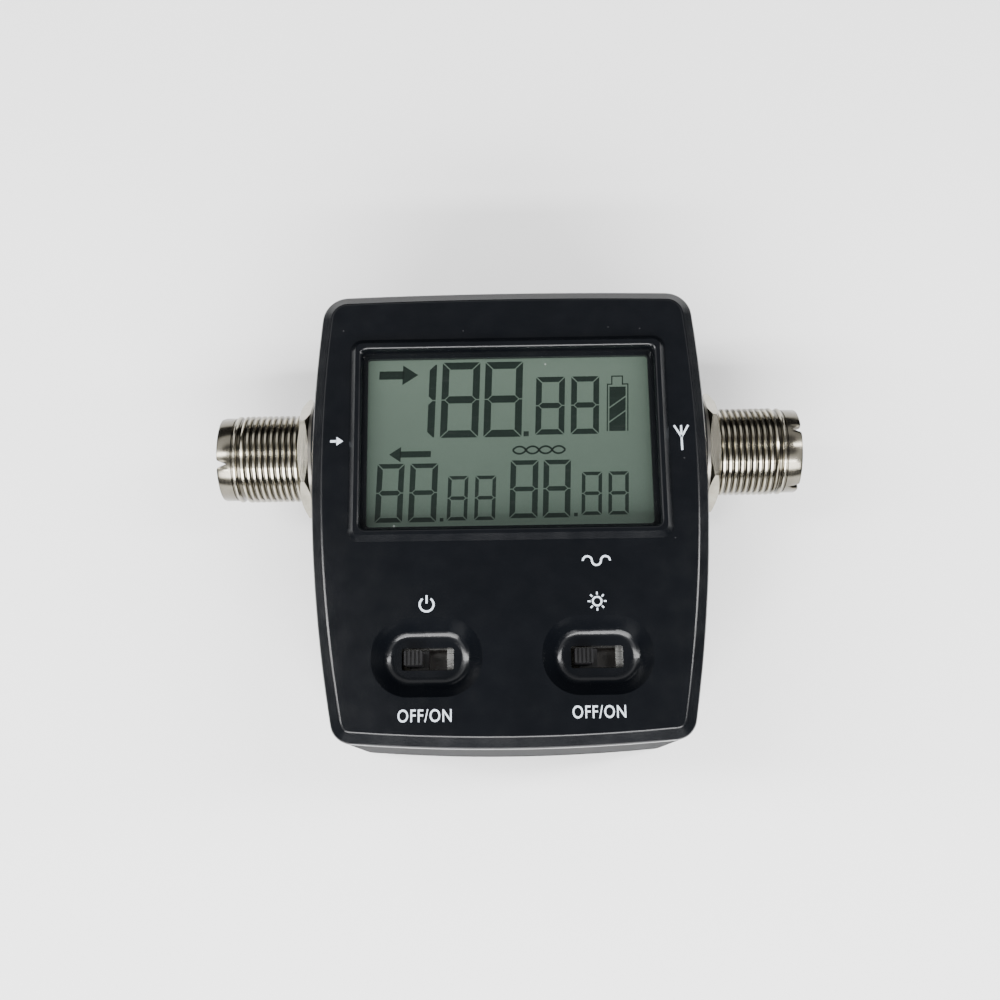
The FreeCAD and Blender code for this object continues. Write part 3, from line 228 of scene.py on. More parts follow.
def switch_steel(name, node_name):
    """A switch's folded shell: painted shade over the steel along the knob's way, with plain bright
    steel at the ON end and part of a strip along the slot's upper edge.
    """
    low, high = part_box(node_name)
    middle_x, middle_y = (low.x + high.x) / 2, (low.y + high.y) / 2

    # The share of the steel free of painted shade: the ON end past the knob, and part of the strip
    # above the slot.
    def unshaded_past_the_knob(made):
        parts = made.node("ShaderNodeSeparateXYZ", Vector=made.spot)
        end = made.span(parts.outputs["X"], middle_x + SLOT_END * MM,
                        middle_x + (SLOT_END + 0.1) * MM, 0.0, 1.0)
        lower = made.span(parts.outputs["Y"], middle_y - SLOT_SIDE * MM,
                          middle_y - (SLOT_SIDE - 0.7) * MM, 0.15, 1.0)
        upper = made.span(parts.outputs["Y"], middle_y + SLOT_SIDE * MM,
                          middle_y + (SLOT_SIDE + 0.1) * MM, 0.0, 0.35)
        return made.sums("MAXIMUM", made.sums("MULTIPLY", end, lower), upper)

    # Near-black painted shade over the rest of the shell.
    return plated_metal(name, *BRIGHT_STEEL, unshaded_share=unshaded_past_the_knob, painted_shade_colour=(0.018, 0.017, 0.015))


def circuit_board():
    """Solder mask over copper tracks, with tinned holes."""
    made = Finish("circuit_board", Roughness=0.35, Coat_Weight=0.2)
    tracks = made.node("ShaderNodeTexBrick", Vector=made.spot, Color1=(0, 0, 0, 1),
                       Color2=(1, 1, 1, 1), Mortar=(0.5, 0.5, 0.5, 1), Scale=210.0, Mortar_Size=0.03)
    shade = made.node("ShaderNodeSeparateColor", Color=tracks.outputs["Color"]).outputs["Red"]
    mask = made.blend(made.span(shade, 0.0, 1.0, 0.0, 0.7), (0.008, 0.075, 0.026),
                      (0.016, 0.13, 0.045))
    made.colour(made.blend(made.specks(2.1, 0.35), mask, (0.62, 0.6, 0.52)))
    made.relief((shade, 0.03), (made.grain(0.4), 0.004))
    return made.material


def wound_core():
    """Ferrite under turns of enamelled wire."""
    made = Finish("wound_core", Roughness=0.4)
    turns = made.node("ShaderNodeTexWave", Vector=made.spot, Scale=520.0, Distortion=1.5, Detail=1.0)
    wave = turns.outputs["Fac"]
    made.colour(made.blend(made.span(wave, 0.35, 0.65, 0.0, 1.0), (0.028, 0.028, 0.03),
                           (0.30, 0.10, 0.035)))
    made.relief((wave, 0.12), (made.grain(0.3), 0.01))
    return made.material


def foil_pouch():
    """The crinkled foil of a lithium cell."""
    made = Finish("foil_pouch", Metallic=0.85)
    crinkles = made.node("ShaderNodeTexVoronoi", Vector=made.spot, Scale=260.0).outputs["Distance"]
    soft = made.grain(2.5, 4.0)
    made.colour(made.blend(soft, (0.42, 0.44, 0.46), (0.66, 0.68, 0.70)))
    made.roughness(soft, 0.28, 0.5)
    made.relief((crinkles, 0.05), (soft, 0.08))
    return made.material


def lcd_cell():
    """The reflective grey-green cell, with the reflector's fine grain, painted shade along its left,
    right and lower edges, and darkening towards its bottom.
    """
    made = Finish("lcd_cell", Roughness=0.35, Specular_IOR_Level=0.15)
    glass_low, glass_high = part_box("lcd_glass")
    parts = made.node("ShaderNodeSeparateXYZ", Vector=made.spot)
    above_bottom_shade = made.span(parts.outputs["Y"], glass_low.y, glass_high.y, 0.0, 1.0)
    cloud = made.grain(14.0, 2.0)
    tone = made.blend(cloud, (0.036, 0.051, 0.040), (0.043, 0.060, 0.048))
    # Painted shade: darker towards the bottom of the cell.
    tone = made.blend(above_bottom_shade, (0.021, 0.031, 0.025), tone)
    # Painted shade along the left, right and lower edges.
    for axis, edge, width in (("X", glass_low.x, 2.6), ("X", glass_high.x, -2.6),
                              ("Y", glass_low.y, 3.6)):
        shade = made.span(parts.outputs[axis], edge, edge + width * MM, 0.0, 1.0)
        tone = made.blend(shade, (0.026, 0.037, 0.030), tone)
    made.colour(made.blend(made.span(made.grain(0.12, 1.0), 0.3, 0.7, 0.0, 0.1), tone,
                           (0.10, 0.135, 0.105)))
    made.relief((made.grain(0.15, 1.0), 0.0015))
    return made.material


def display_ink():
    """A switched-on segment: dark, its tone a little uneven."""
    made = Finish("display_ink", Roughness=0.25, Specular_IOR_Level=0.12)
    made.colour(made.blend(made.grain(1.5, 2.0), (0.0028, 0.0054, 0.0044), (0.0042, 0.0076, 0.0060)))
    made.relief((made.grain(0.15, 1.0), 0.0015))
    return made.material


def clear_acrylic():
    """The window: nearly clear, glossy, with faint dust and hairline scratches."""
    made = Finish("clear_acrylic", IOR=1.49, Base_Color=(0.35, 0.38, 0.36, 1.0))
    streaks = made.grain(0.35, 2.0, along=made.drawn_out(0.05, 1.0, 1.0))
    fine = made.span(streaks, 0.62, 0.75, 0.0, 0.012)
    dust = made.sums("MULTIPLY", made.specks(1.3, 0.006), 0.3)
    body = made.sums("ADD", made.sums("ADD", fine, dust), 0.004)
    made.feed(made.surface.inputs["Alpha"], body)
    made.roughness(made.grain(7.0), 0.03, 0.09)
    return made.material


def milky_guide():
    """The light guide's milky acrylic."""
    made = Finish("milky_guide", Roughness=0.3, Subsurface_Weight=0.2)
    made.colour(made.blend(made.grain(3.0), (0.72, 0.75, 0.71), (0.84, 0.86, 0.82)))
    made.relief((made.grain(0.5), 0.006))
    return made.material


def contact_rubber():
    """Black and clear layers of contact rubber, stacked along the strip."""
    made = Finish("contact_rubber", Roughness=0.6)
    layers = made.node("ShaderNodeTexWave", Vector=made.spot, Scale=900.0).outputs["Fac"]
    made.colour(made.blend(made.span(layers, 0.45, 0.55, 0.0, 1.0), (0.03, 0.03, 0.032),
                           (0.32, 0.31, 0.28)))
    made.relief((made.grain(0.3), 0.01))
    return made.material


def soft_foam():
    """Foam with open pores."""
    made = Finish("soft_foam", Roughness=0.9)
    pores = made.node("ShaderNodeTexVoronoi", Vector=made.spot, Scale=1800.0).outputs["Distance"]
    made.colour(made.blend(pores, (0.5, 0.49, 0.46), (0.78, 0.77, 0.73)))
    made.relief((pores, 0.15))
    return made.material


def phenolic_plate():
    """Dark laminate with its fibres along X."""
    made = Finish("phenolic_plate", Roughness=0.5)
    fibres = made.grain(0.5, 4.0, along=made.drawn_out(0.15, 1.0, 1.0))
    made.colour(made.blend(fibres, (0.006, 0.005, 0.004), (0.014, 0.010, 0.007)))
    made.relief((fibres, 0.02))
    return made.material


def printed_ink(name, colour):
    """Screen print on moulded plastic: slightly uneven and a little proud."""
    made = Finish(name, Roughness=0.5)
    worn = made.span(made.grain(0.35, 3.0), 0.35, 0.5, 0.75, 1.0)
    made.colour(made.blend(worn, tuple(channel * 0.55 for channel in colour), colour))
    made.relief((made.grain(0.4), 0.003))
    return made.material


def pale_paper():
    """The floor's plain paper."""
    made = Finish("pale_paper", Roughness=0.75)
    made.colour(made.blend(made.grain(40.0), (0.80, 0.80, 0.80), (0.84, 0.84, 0.84)))
    made.relief((made.grain(0.8), 0.01))
    return made.material


CASE = moulded_plastic("case_plastic", (0.0014, 0.0018, 0.0026), (0.0024, 0.0029, 0.0040),
                       (0.17, 0.23), dust=0.01, matte_below=face_height() - MATTE_START * MM,
                       Specular_IOR_Level=0.30)
INNER = moulded_plastic("inner_plastic", (0.006, 0.006, 0.007), (0.010, 0.010, 0.011), (0.45, 0.6),
                        dust=0.0)
KNOB = moulded_plastic("knob_plastic", (0.0035, 0.0035, 0.0040), (0.0065, 0.0065, 0.0070),
                       (0.28, 0.36), grain_size=0.3, Specular_IOR_Level=0.35)
PTFE = moulded_plastic("white_ptfe", (0.70, 0.69, 0.65), (0.80, 0.79, 0.75), (0.4, 0.5),
                       grain_size=0.8, depth=0.01, dust=0.0)
EPOXY = moulded_plastic("black_epoxy", (0.014, 0.014, 0.015), (0.022, 0.022, 0.023), (0.5, 0.65),
                        grain_size=0.2, depth=0.01, dust=0.0)
NICKEL = plated_metal("nickel", (0.26, 0.245, 0.20), (0.46, 0.435, 0.365), (0.16, 0.28), turned=True)
# Nickel with painted shade in the thread roots.
THREADED_NICKEL = plated_metal("threaded_nickel", (0.25, 0.235, 0.19), (0.47, 0.44, 0.365),
                               (0.13, 0.24), turned=True, unshaded_share=shaded_thread_roots)
# Dull washer steel, darkened further with painted shade.
SHADED_WASHER_STEEL = plated_metal("dull_shaded_washer", (0.10, 0.095, 0.085), (0.20, 0.19, 0.17), (0.3, 0.42))
BRIGHT_STEEL = ((0.34, 0.34, 0.33), (0.52, 0.52, 0.50), (0.2, 0.34))
STEEL = plated_metal("plated_steel", *BRIGHT_STEEL)
POWER_SHELL_STEEL = switch_steel("power_switch_steel", "power_switch_shell")
LIGHT_SHELL_STEEL = switch_steel("light_switch_steel", "light_switch_shell")
SCREW_STEEL = plated_metal("screw_steel", (0.05, 0.05, 0.052), (0.11, 0.11, 0.112), (0.3, 0.45))
SILVER = plated_metal("silvered_contact", (0.55, 0.50, 0.40), (0.80, 0.76, 0.66), (0.18, 0.32),
                      turned=True)
COPPER = plated_metal("tinned_copper", (0.45, 0.24, 0.13), (0.72, 0.42, 0.25), (0.25, 0.4))
BOARD = circuit_board()
LCD = lcd_cell()
INK = display_ink()
WHITE_PRINT = printed_ink("white_print", (0.50, 0.55, 0.61))

NODE_FINISHES = {
    "front_housing": CASE, "rear_cover": CASE, "window_pane": clear_acrylic(), "lcd_glass": LCD,
    "lcd_backlight": milky_guide(), "contact_strips": contact_rubber(), "lcd_holder": INNER,
    "display_board": BOARD, "controller_chip": EPOXY, "charge_socket": STEEL,
    "power_switch_shell": POWER_SHELL_STEEL, "light_switch_shell": LIGHT_SHELL_STEEL,
    "power_switch_base": phenolic_plate(), "power_knob": KNOB, "light_knob": KNOB,
    "tx_insulator": PTFE, "ant_insulator": PTFE,
    "tx_washer": SHADED_WASHER_STEEL, "ant_washer": SHADED_WASHER_STEEL,
    "tx_nut": NICKEL, "ant_nut": NICKEL, "rf_tray": STEEL, "coupler_board": BOARD,
    "through_line": COPPER,
    "current_core": wound_core(), "board_link": INNER, "battery_pad": soft_foam(),
    "battery_cell": foil_pouch(), "case_screws": SCREW_STEEL, "board_screws": SCREW_STEEL,
    "coupler_screws": SCREW_STEEL,
}
NODE_FINISHES["light_switch_base"] = NODE_FINISHES["power_switch_base"]
NODE_FINISHES["voltage_core"] = NODE_FINISHES["current_core"]


# ---------------------------------------------------------------- modelling

def finished(name, form, material, replaces=(), body="case", sharp=math.radians(32)):
    """The form as a piece of the meter: closed, facing outwards, smooth but for its sharp edges."""
    bmesh.ops.remove_doubles(form, verts=form.verts[:], dist=WELD)
    bmesh.ops.recalc_face_normals(form, faces=form.faces[:])
    for face in form.faces:
        face.smooth = True
    mesh = bpy.data.meshes.new(name)
    form.to_mesh(mesh)
    form.free()
    mesh.set_sharp_from_angle(angle=sharp)
    mesh.materials.append(material)
    made = bpy.data.objects.new(name, mesh)
    bpy.context.scene.collection.objects.link(made)
    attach(made, body)
    if replaces:
        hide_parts(*replaces)
    return made


def outline(form, points, closed=False):
    """A wire through (x, height) points in mm, in the plane y = 0."""
    corners = [form.verts.new((x * MM, 0.0, z * MM)) for x, z in points]
    pairs = list(zip(corners, corners[1:]))
    if closed:
        pairs.append((corners[-1], corners[0]))
    return corners, [form.edges.new(pair) for pair in pairs]


def turned(form, points, steps):
    """A closed profile of (x, radius) points in mm, turned once round the X axis."""
    corners, edges = outline(form, points, closed=True)
    bmesh.ops.spin(form, geom=corners + edges, cent=(0, 0, 0), axis=(1, 0, 0), dvec=(0, 0, 0),
                   angle=math.tau, steps=steps, use_merge=True)
    return form


def angle_round_x(point):
    """A point's angle round the X axis, in degrees from Y."""
    return math.degrees(math.atan2(point.z, point.y)) % 360


THINNEST_WALL = 0.8         # an edge that rises no more than this doesn't run through the wall


def cut_rim(form, count, half_width, floor):
    """Cuts count notches through the wall, from the highest X down to floor, at even angles."""
    every = 360 / count

    def off_centre(point):
        return abs((angle_round_x(point) + every / 2) % every - every / 2)

    gone = [face for face in form.faces
            if off_centre(face.calc_center_median()) < half_width
            and face.calc_center_median().x > floor * MM + HAIR]
    bmesh.ops.delete(form, geom=gone, context="FACES")
    open_edges = [edge for edge in form.edges if edge.is_boundary]
    for turn in range(count):
        middle = turn * every
        ring = []
        for edge in open_edges:
            point = (edge.verts[0].co + edge.verts[1].co) / 2
            away = abs((angle_round_x(point) - middle + 180) % 360 - 180)
            tops = [corner.co for corner in edge.verts]
            rise = math.hypot(tops[0].y, tops[0].z) - math.hypot(tops[1].y, tops[1].z)
            if away < every / 2 and abs(rise) <= THINNEST_WALL * MM:
                ring.append(edge)
        bmesh.ops.bridge_loops(form, edges=ring)
    return form


RIDGE_FOOT, RIDGE_TOP = 0.47, 0.16          # half a ridge's width at root and crest, in pitches
RIDGE_FADE = 0.6                            # how long it takes to rise, in pitches
RIDGE_LEAST = 0.05                          # share of its height that is left at its ends


def helix(form, root, crest, pitch, start, length, steps=72):
    """A thread's ridge from start along X, faded into the shank at both ends."""
    turns = length / pitch
    wide, narrow = pitch * RIDGE_FOOT, pitch * RIDGE_TOP
    corners, edges = outline(form, [(start - wide, root), (start - narrow, crest),
                                    (start + narrow, crest), (start + wide, root)], closed=True)
    count = int(turns * steps)
    bmesh.ops.spin(form, geom=corners + edges, cent=(0, 0, 0), axis=(1, 0, 0),
                   dvec=(length * MM / count, 0, 0), angle=math.tau * turns, steps=count)
    ends = [edge for edge in form.edges if edge.is_boundary]
    bmesh.ops.holes_fill(form, edges=ends, sides=0)
    for corner in form.verts:
        radius = math.hypot(corner.co.y, corner.co.z) / MM
        if radius > root + 0.01:
            place = corner.co.x / MM
            from_start, to_end = place - start + narrow, start + length + narrow - place
            share = min(1.0, from_start / pitch / RIDGE_FADE + RIDGE_LEAST,
                        to_end / pitch / RIDGE_FADE + RIDGE_LEAST)
            scale = (root + (radius - root) * max(RIDGE_LEAST, share)) / radius
            corner.co.y *= scale
            corner.co.z *= scale
    return form


def moved(form, matrix):
    """The form, moved by this matrix."""
    bmesh.ops.transform(form, matrix=matrix, verts=form.verts[:])
    return form


def joined(form, other):
    """Adds another form to this one."""
    mesh = bpy.data.meshes.new("joining")
    other.to_mesh(mesh)
    other.free()
    form.from_mesh(mesh)
    bpy.data.meshes.remove(mesh)
    return form


def slab(form, low, high, bottom, top, cuts=()):
    """A flat block between two corners in mm, cut by lines: each a point and the way outwards."""
    middle = ((low[0] + high[0]) / 2 * MM, (low[1] + high[1]) / 2 * MM, bottom)
    size = Matrix.Diagonal(((high[0] - low[0]) * MM, (high[1] - low[1]) * MM, 1.0, 1.0))
    sheet = bmesh.new()
    bmesh.ops.create_grid(sheet, x_segments=1, y_segments=1, size=0.5,
                          matrix=Matrix.Translation(middle) @ size)
    for point, outwards in cuts:
        bmesh.ops.bisect_plane(sheet, geom=sheet.verts[:] + sheet.edges[:] + sheet.faces[:],
                               plane_co=(point[0] * MM, point[1] * MM, bottom),
                               plane_no=(*outwards, 0.0), clear_outer=True)
    raised = bmesh.ops.extrude_face_region(sheet, geom=sheet.faces[:], use_keep_orig=True)
    tops = [item for item in raised["geom"] if isinstance(item, bmesh.types.BMVert)]
    bmesh.ops.translate(sheet, verts=tops, vec=(0, 0, top - bottom))
    return joined(form, sheet)


def bar(form, start, end, width, lay):
    """A flat bar of this width between two points in mm; lay is its lower and upper height."""
    run = Vector(end) - Vector(start)
    piece = slab(bmesh.new(), (0, -width / 2), (run.length, width / 2), *lay)
    moved(piece, Matrix.Translation((start[0] * MM, start[1] * MM, 0))
          @ Matrix.Rotation(math.atan2(run.y, run.x), 4, "Z"))
    return joined(form, piece)


def arc(form, middle, radius, width, lay, first=0.0, sweep=360.0):
    """A flat curved bar: part of a ring round a point in mm, its angles in degrees."""
    piece = bmesh.new()
    inner, outer = radius - width / 2, radius + width / 2
    heights = [height / MM for height in lay]
    corners, edges = outline(piece, [(inner, heights[0]), (outer, heights[0]),
                                     (outer, heights[1]), (inner, heights[1])], closed=True)
    bmesh.ops.spin(piece, geom=corners + edges, cent=(0, 0, 0), axis=(0, 0, 1), dvec=(0, 0, 0),
                   angle=math.radians(sweep), steps=max(8, int(sweep / 8)), use_merge=sweep == 360)
    ends = [edge for edge in piece.edges if edge.is_boundary]
    if ends:
        bmesh.ops.holes_fill(piece, edges=ends, sides=0)
    moved(piece, Matrix.Translation((middle[0] * MM, middle[1] * MM, 0))
          @ Matrix.Rotation(math.radians(first), 4, "Z"))
    return joined(form, piece)


def arrow(form, tail, tip, shaft, head, lay):
    """A plain arrow between two points in mm: a shaft, and a head this wide and about as long."""
    run = Vector(tip) - Vector(tail)
    length = head * 0.75
    bar(form, tail, tuple(Vector(tip) - run.normalized() * length * 0.95), shaft, lay)
    piece = slab(bmesh.new(), (0, -head / 2), (length, head / 2), *lay,
                 cuts=[((length, 0), (head / 2, length)), ((length, 0), (head / 2, -length))])
    start = Vector(tip) - run.normalized() * length
    moved(piece, Matrix.Translation((start.x * MM, start.y * MM, 0))
          @ Matrix.Rotation(math.atan2(run.y, run.x), 4, "Z"))
    return joined(form, piece)


# ---------------------------------------------------------------- jacks

JACK_STEPS = 144
RIM_TURNS = {"tx": -22.0, "ant": 74.0}      # degrees that each jack is screwed round
NOTCH_DEPTH = 1.7
NOTCH_HALF = 5.6                            # half of a notch's width at the mouth, in degrees
NOTCH_REACH = 1.0                           # what lies this near the mouth goes down with a notch
BORE_RADIUS = 6.35
NOSE_RADIUS = 7.6                           # the plain end in front of the thread
COLLAR_RADIUS = 7.9                         # the ring between the thread and the nose
THREAD_END = -3.75                          # from the mouth
THREAD_LEAD = 0.6                           # plain shank left at the nut
PIN_RADIUS, PIN_BORE = 2.8, 2.0             # the centre contact
PIN_SINK = -1.5                             # its end from the mouth
PIN_SLOTS_END = -8.0
PIN_BORE_END = -15.5


def jack_place(name):
    """From a jack drawn along +X, its mouth at X 0, to its place on the meter."""
    low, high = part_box(name + "_jack_shell")
    mouth = high.x if name == "ant" else low.x
    side = Matrix.Identity(4) if name == "ant" else Matrix.Rotation(math.pi, 4, "Z")
    return Matrix.Translation((mouth, (low.y + high.y) / 2, (low.z + high.z) / 2)) @ side


def notch_rim(form):
    """Sinks four V notches into the mouth."""
    for corner in form.verts:
        if corner.co.x > -NOTCH_REACH * MM:
            away = abs((angle_round_x(corner.co) + 45) % 90 - 45)
            corner.co.x -= max(0.0, 1 - away / NOTCH_HALF) * NOTCH_DEPTH * MM
    return form


def jack(name):
    """A jack's threaded shell with its notched rim, and its slotted centre contact."""
    low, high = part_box(name + "_jack_shell")
    flange_back = -(high.x - low.x) / MM
    flange_radius = (high.y - low.y) / 2 / MM
    nut_low, nut_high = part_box(name + "_nut")
    mouth = high.x if name == "ant" else -low.x
    nut_back = (min(abs(nut_low.x), abs(nut_high.x)) - mouth) / MM
    shell = turned(bmesh.new(), [
        (flange_back, BORE_RADIUS), (flange_back, flange_radius - 0.3),
        (flange_back + 0.3, flange_radius), (flange_back + 1.7, flange_radius),
        (flange_back + 2.0, flange_radius - 0.3), (flange_back + 2.0, THREAD_ROOT),
        (THREAD_END, THREAD_ROOT), (-3.55, 7.72), (-3.35, COLLAR_RADIUS), (-3.1, COLLAR_RADIUS),
        (-2.95, 7.75), (-2.9, 7.45), (-2.6, 7.45), (-2.5, NOSE_RADIUS), (-2.1, NOSE_RADIUS),
        (-0.35, NOSE_RADIUS), (-0.1, 7.5), (0.0, 7.25), (0.0, 6.7), (-0.1, 6.5),
        (-0.35, BORE_RADIUS), (-2.1, BORE_RADIUS)], JACK_STEPS)
    notch_rim(shell)
    moved(shell, Matrix.Rotation(math.radians(RIM_TURNS[name]), 4, "X"))
    joined(shell, helix(bmesh.new(), THREAD_ROOT - 0.06, THREAD_CREST, THREAD_PITCH,
                        nut_back + THREAD_LEAD, THREAD_END - nut_back - THREAD_LEAD - 0.3))
    finished(name + "_threaded_shell", moved(shell, jack_place(name)), THREADED_NICKEL,
             [name + "_jack_shell"])

    low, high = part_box(name + "_contact")
    length = (high.x - low.x) / MM
    contact = turned(bmesh.new(), [
        (PIN_SINK - length, 0.6), (PIN_SINK - length, PIN_RADIUS - 0.3),
        (PIN_SINK + 0.3 - length, PIN_RADIUS), (PIN_SLOTS_END, PIN_RADIUS),
        (PIN_SINK - 0.25, PIN_RADIUS), (PIN_SINK, PIN_RADIUS - 0.15), (PIN_SINK, PIN_BORE + 0.15),
        (PIN_SINK - 0.25, PIN_BORE), (PIN_SLOTS_END, PIN_BORE), (PIN_BORE_END, PIN_BORE),
        (PIN_BORE_END, 0.6)], 36)
    cut_rim(contact, 4, 4.0, PIN_SLOTS_END)
    finished(name + "_slotted_contact", moved(contact, jack_place(name)), SILVER,
             [name + "_contact"])


# ---------------------------------------------------------------- screws

def solids_in(node_name):
    """The lowest and highest corners, in mm, of each separate solid in a node."""
    form = bmesh.new()
    form.from_mesh(NODES[node_name].data)
    bmesh.ops.remove_doubles(form, verts=form.verts[:], dist=HAIR)
    unseen = set(form.verts)
    boxes = []
    while unseen:
        reached = {unseen.pop()}
        island = set(reached)
        while reached:
            reached = {edge.other_vert(corner) for corner in reached
                       for edge in corner.link_edges} & unseen
            unseen -= reached
            island |= reached
        places = [corner.co / MM for corner in island]
        boxes.append(([min(place[axis] for place in places) for axis in range(3)],
                      [max(place[axis] for place in places) for axis in range(3)]))
    form.free()
    return sorted(boxes)


RECESS_ARM, RECESS_REACH = 0.07, 0.28       # shares of the head: half an arm's width, its reach
RECESS_DEPTH = 0.6                          # share of the head's height
RECESS_TAPER = 0.6                          # the recess's floor as a share of its mouth


def screw(head_height, head, shank, length):
    """A cross-recessed pan-head screw along -X: the top of its head is at X 0."""
    form = turned(bmesh.new(), [
        (0.0, 0.0), (0.0, head / 2 - 0.75), (-0.08, head / 2 - 0.35), (-0.3, head / 2 - 0.1),
        (-0.6, head / 2), (-head_height, head / 2), (-head_height, shank * 0.4),
        (-length + shank / 2, shank * 0.4), (-length, 0.0)], 48)
    bmesh.ops.remove_doubles(form, verts=form.verts[:], dist=WELD)
    bmesh.ops.delete(form, geom=[edge for edge in form.edges if edge.is_wire], context="EDGES")
    arm, reach = head * RECESS_ARM, head * RECESS_REACH
    for offset in (-reach, -arm, arm, reach):
        for way in ((0, 1, 0), (0, 0, 1)):
            bmesh.ops.bisect_plane(form, geom=form.verts[:] + form.edges[:] + form.faces[:],
                                   dist=WELD, plane_co=tuple(offset * MM * part for part in way),
                                   plane_no=way)
    recess = []
    for face in form.faces:
        middle = face.calc_center_median() / MM
        across = sorted((abs(middle.y), abs(middle.z)))
        if middle.x > -0.01 and across[0] < arm and across[1] < reach:
            recess.append(face)
    sunk = bmesh.ops.extrude_face_region(form, geom=recess)
    bmesh.ops.delete(form, geom=recess, context="FACES")
    floor_points = [item for item in sunk["geom"] if isinstance(item, bmesh.types.BMVert)]
    bmesh.ops.translate(form, verts=floor_points, vec=(-head_height * RECESS_DEPTH * MM, 0, 0))
    bmesh.ops.scale(form, verts=floor_points, vec=(1.0, RECESS_TAPER, RECESS_TAPER))
    pitch = shank * 0.36
    return joined(form, helix(bmesh.new(), shank * 0.39, shank / 2, pitch, -length + shank * 0.6,
                              length - head_height - shank * 0.9, 24))


def screws(node_name, head_height, head, shank, upwards):
    """A node's screws, with their shanks pointing up or down and their recesses at odd angles."""
    form = bmesh.new()
    for low, high in solids_in(node_name):
        piece = screw(head_height, head, shank, high[2] - low[2])
        middle = ((low[0] + high[0]) / 2 * MM, (low[1] + high[1]) / 2 * MM,
                  (low[2] if upwards else high[2]) * MM)
        joined(form, moved(piece, Matrix.Translation(middle)
                           @ Matrix.Rotation(math.radians(90 if upwards else -90), 4, "Y")
                           @ Matrix.Rotation(math.radians(17 * low[0]), 4, "X")))
    finished("cross_" + node_name, form, SCREW_STEEL, [node_name])


# ---------------------------------------------------------------- display

# Each figure's left, right, low and high edge from the cell's middle, then the width of its
# uprights and of its bars.
FIGURES = (
    (-11.95, -5.36, 0.78, 14.55, 1.2, 1.3), (-4.45, 2.13, 0.78, 14.55, 1.2, 1.3),
    (4.51, 9.52, 1.08, 11.61, 1.0, 0.95), (10.64, 15.50, 1.08, 11.61, 1.0, 0.95),
    (-22.48, -17.82, -14.11, -3.78, 0.95, 0.8), (-16.81, -12.05, -14.11, -3.78, 0.95, 0.8),
    (0.41, 5.17, -13.66, -3.48, 0.95, 0.8), (6.08, 10.74, -13.66, -3.48, 0.95, 0.8),
    (-10.23, -6.78, -13.91, -6.11, 0.6, 0.6), (-5.57, -2.02, -13.91, -6.11, 0.6, 0.6),
    (12.66, 16.11, -13.30, -5.71, 0.6, 0.6), (17.22, 20.67, -13.30, -5.71, 0.6, 0.6))
POINTS = ((2.94, 1.28, 0.9), (-11.1, -13.75, 0.6), (11.7, -13.2, 0.6))      # place and size

# The battery sign's strips: left, right, low and high edge.
BATTERY_STRIPS = (
    (16.85, 17.05, 1.54, 10.1), (20.4, 20.6, 1.54, 10.1), (16.85, 17.75, 9.99, 10.19),
    (19.5, 20.6, 9.99, 10.19), (17.6, 17.8, 10.0, 11.6), (19.45, 19.65, 10.0, 11.6),
    (17.6, 19.65, 11.46, 11.66))
FIGURE_LEAN = 2.3           # degrees


def digit(form, left, right, low, high, upright, bar, lay, gap=0.1):
    """A seven-segment eight: mitred bars with thin gaps between them."""
    middle = (low + high) / 2
    half = upright / 2
    corner = {(-1, 1): (left, high), (1, 1): (right, high),
              (-1, -1): (left, low), (1, -1): (right, low)}

    def mitre(side, end, outwards):
        spot = corner[(side, end)]
        shift = gap / math.sqrt(2)
        return ((spot[0] - outwards[0] * shift, spot[1] - outwards[1] * shift), outwards)

    for end in (-1, 1):
        near, far = (high - bar, high) if end > 0 else (low, low + bar)
        slab(form, (left, near), (right, far), *lay,
             cuts=[mitre(-1, end, (-1, -end)), mitre(1, end, (1, -end))])
        for side in (-1, 1):
            inner = left + upright if side < 0 else right - upright
            outer = left if side < 0 else right
            inside = middle + end * gap
            points = sorted((inner, outer)), sorted((inside, high if end > 0 else low))
            tip = (outer - side * half, middle + end * gap * 1.4)
            slab(form, (points[0][0], points[1][0]), (points[0][1], points[1][1]), *lay,
                 cuts=[mitre(side, end, (-side, end)), (tip, (-side, -end))])
    ends = []
    for side, spot in ((-1, left + half + gap), (1, right - half - gap)):
        for end in (-1, 1):
            ends.append(((spot, middle), (side, end)))
    slab(form, (left + half, middle - bar / 2), (right - half, middle + bar / 2), *lay, cuts=ends)


def battery(form, lay):
    """The battery sign: an outline with its cap, filled but for two slanting gaps."""
    for left, right, base, top in BATTERY_STRIPS:
        slab(form, (left, base), (right, top), *lay)
    above, below = (-0.589, 0.808), (0.589, -0.808)
    low, high = (17.3, 1.54), (20.1, 9.6)
    slab(form, low, high, *lay, cuts=[((18.7, 4.05), above)])
    slab(form, low, high, *lay, cuts=[((18.7, 4.35), below), ((18.7, 6.65), above)])
    slab(form, low, high, *lay, cuts=[((18.7, 6.95), below)])


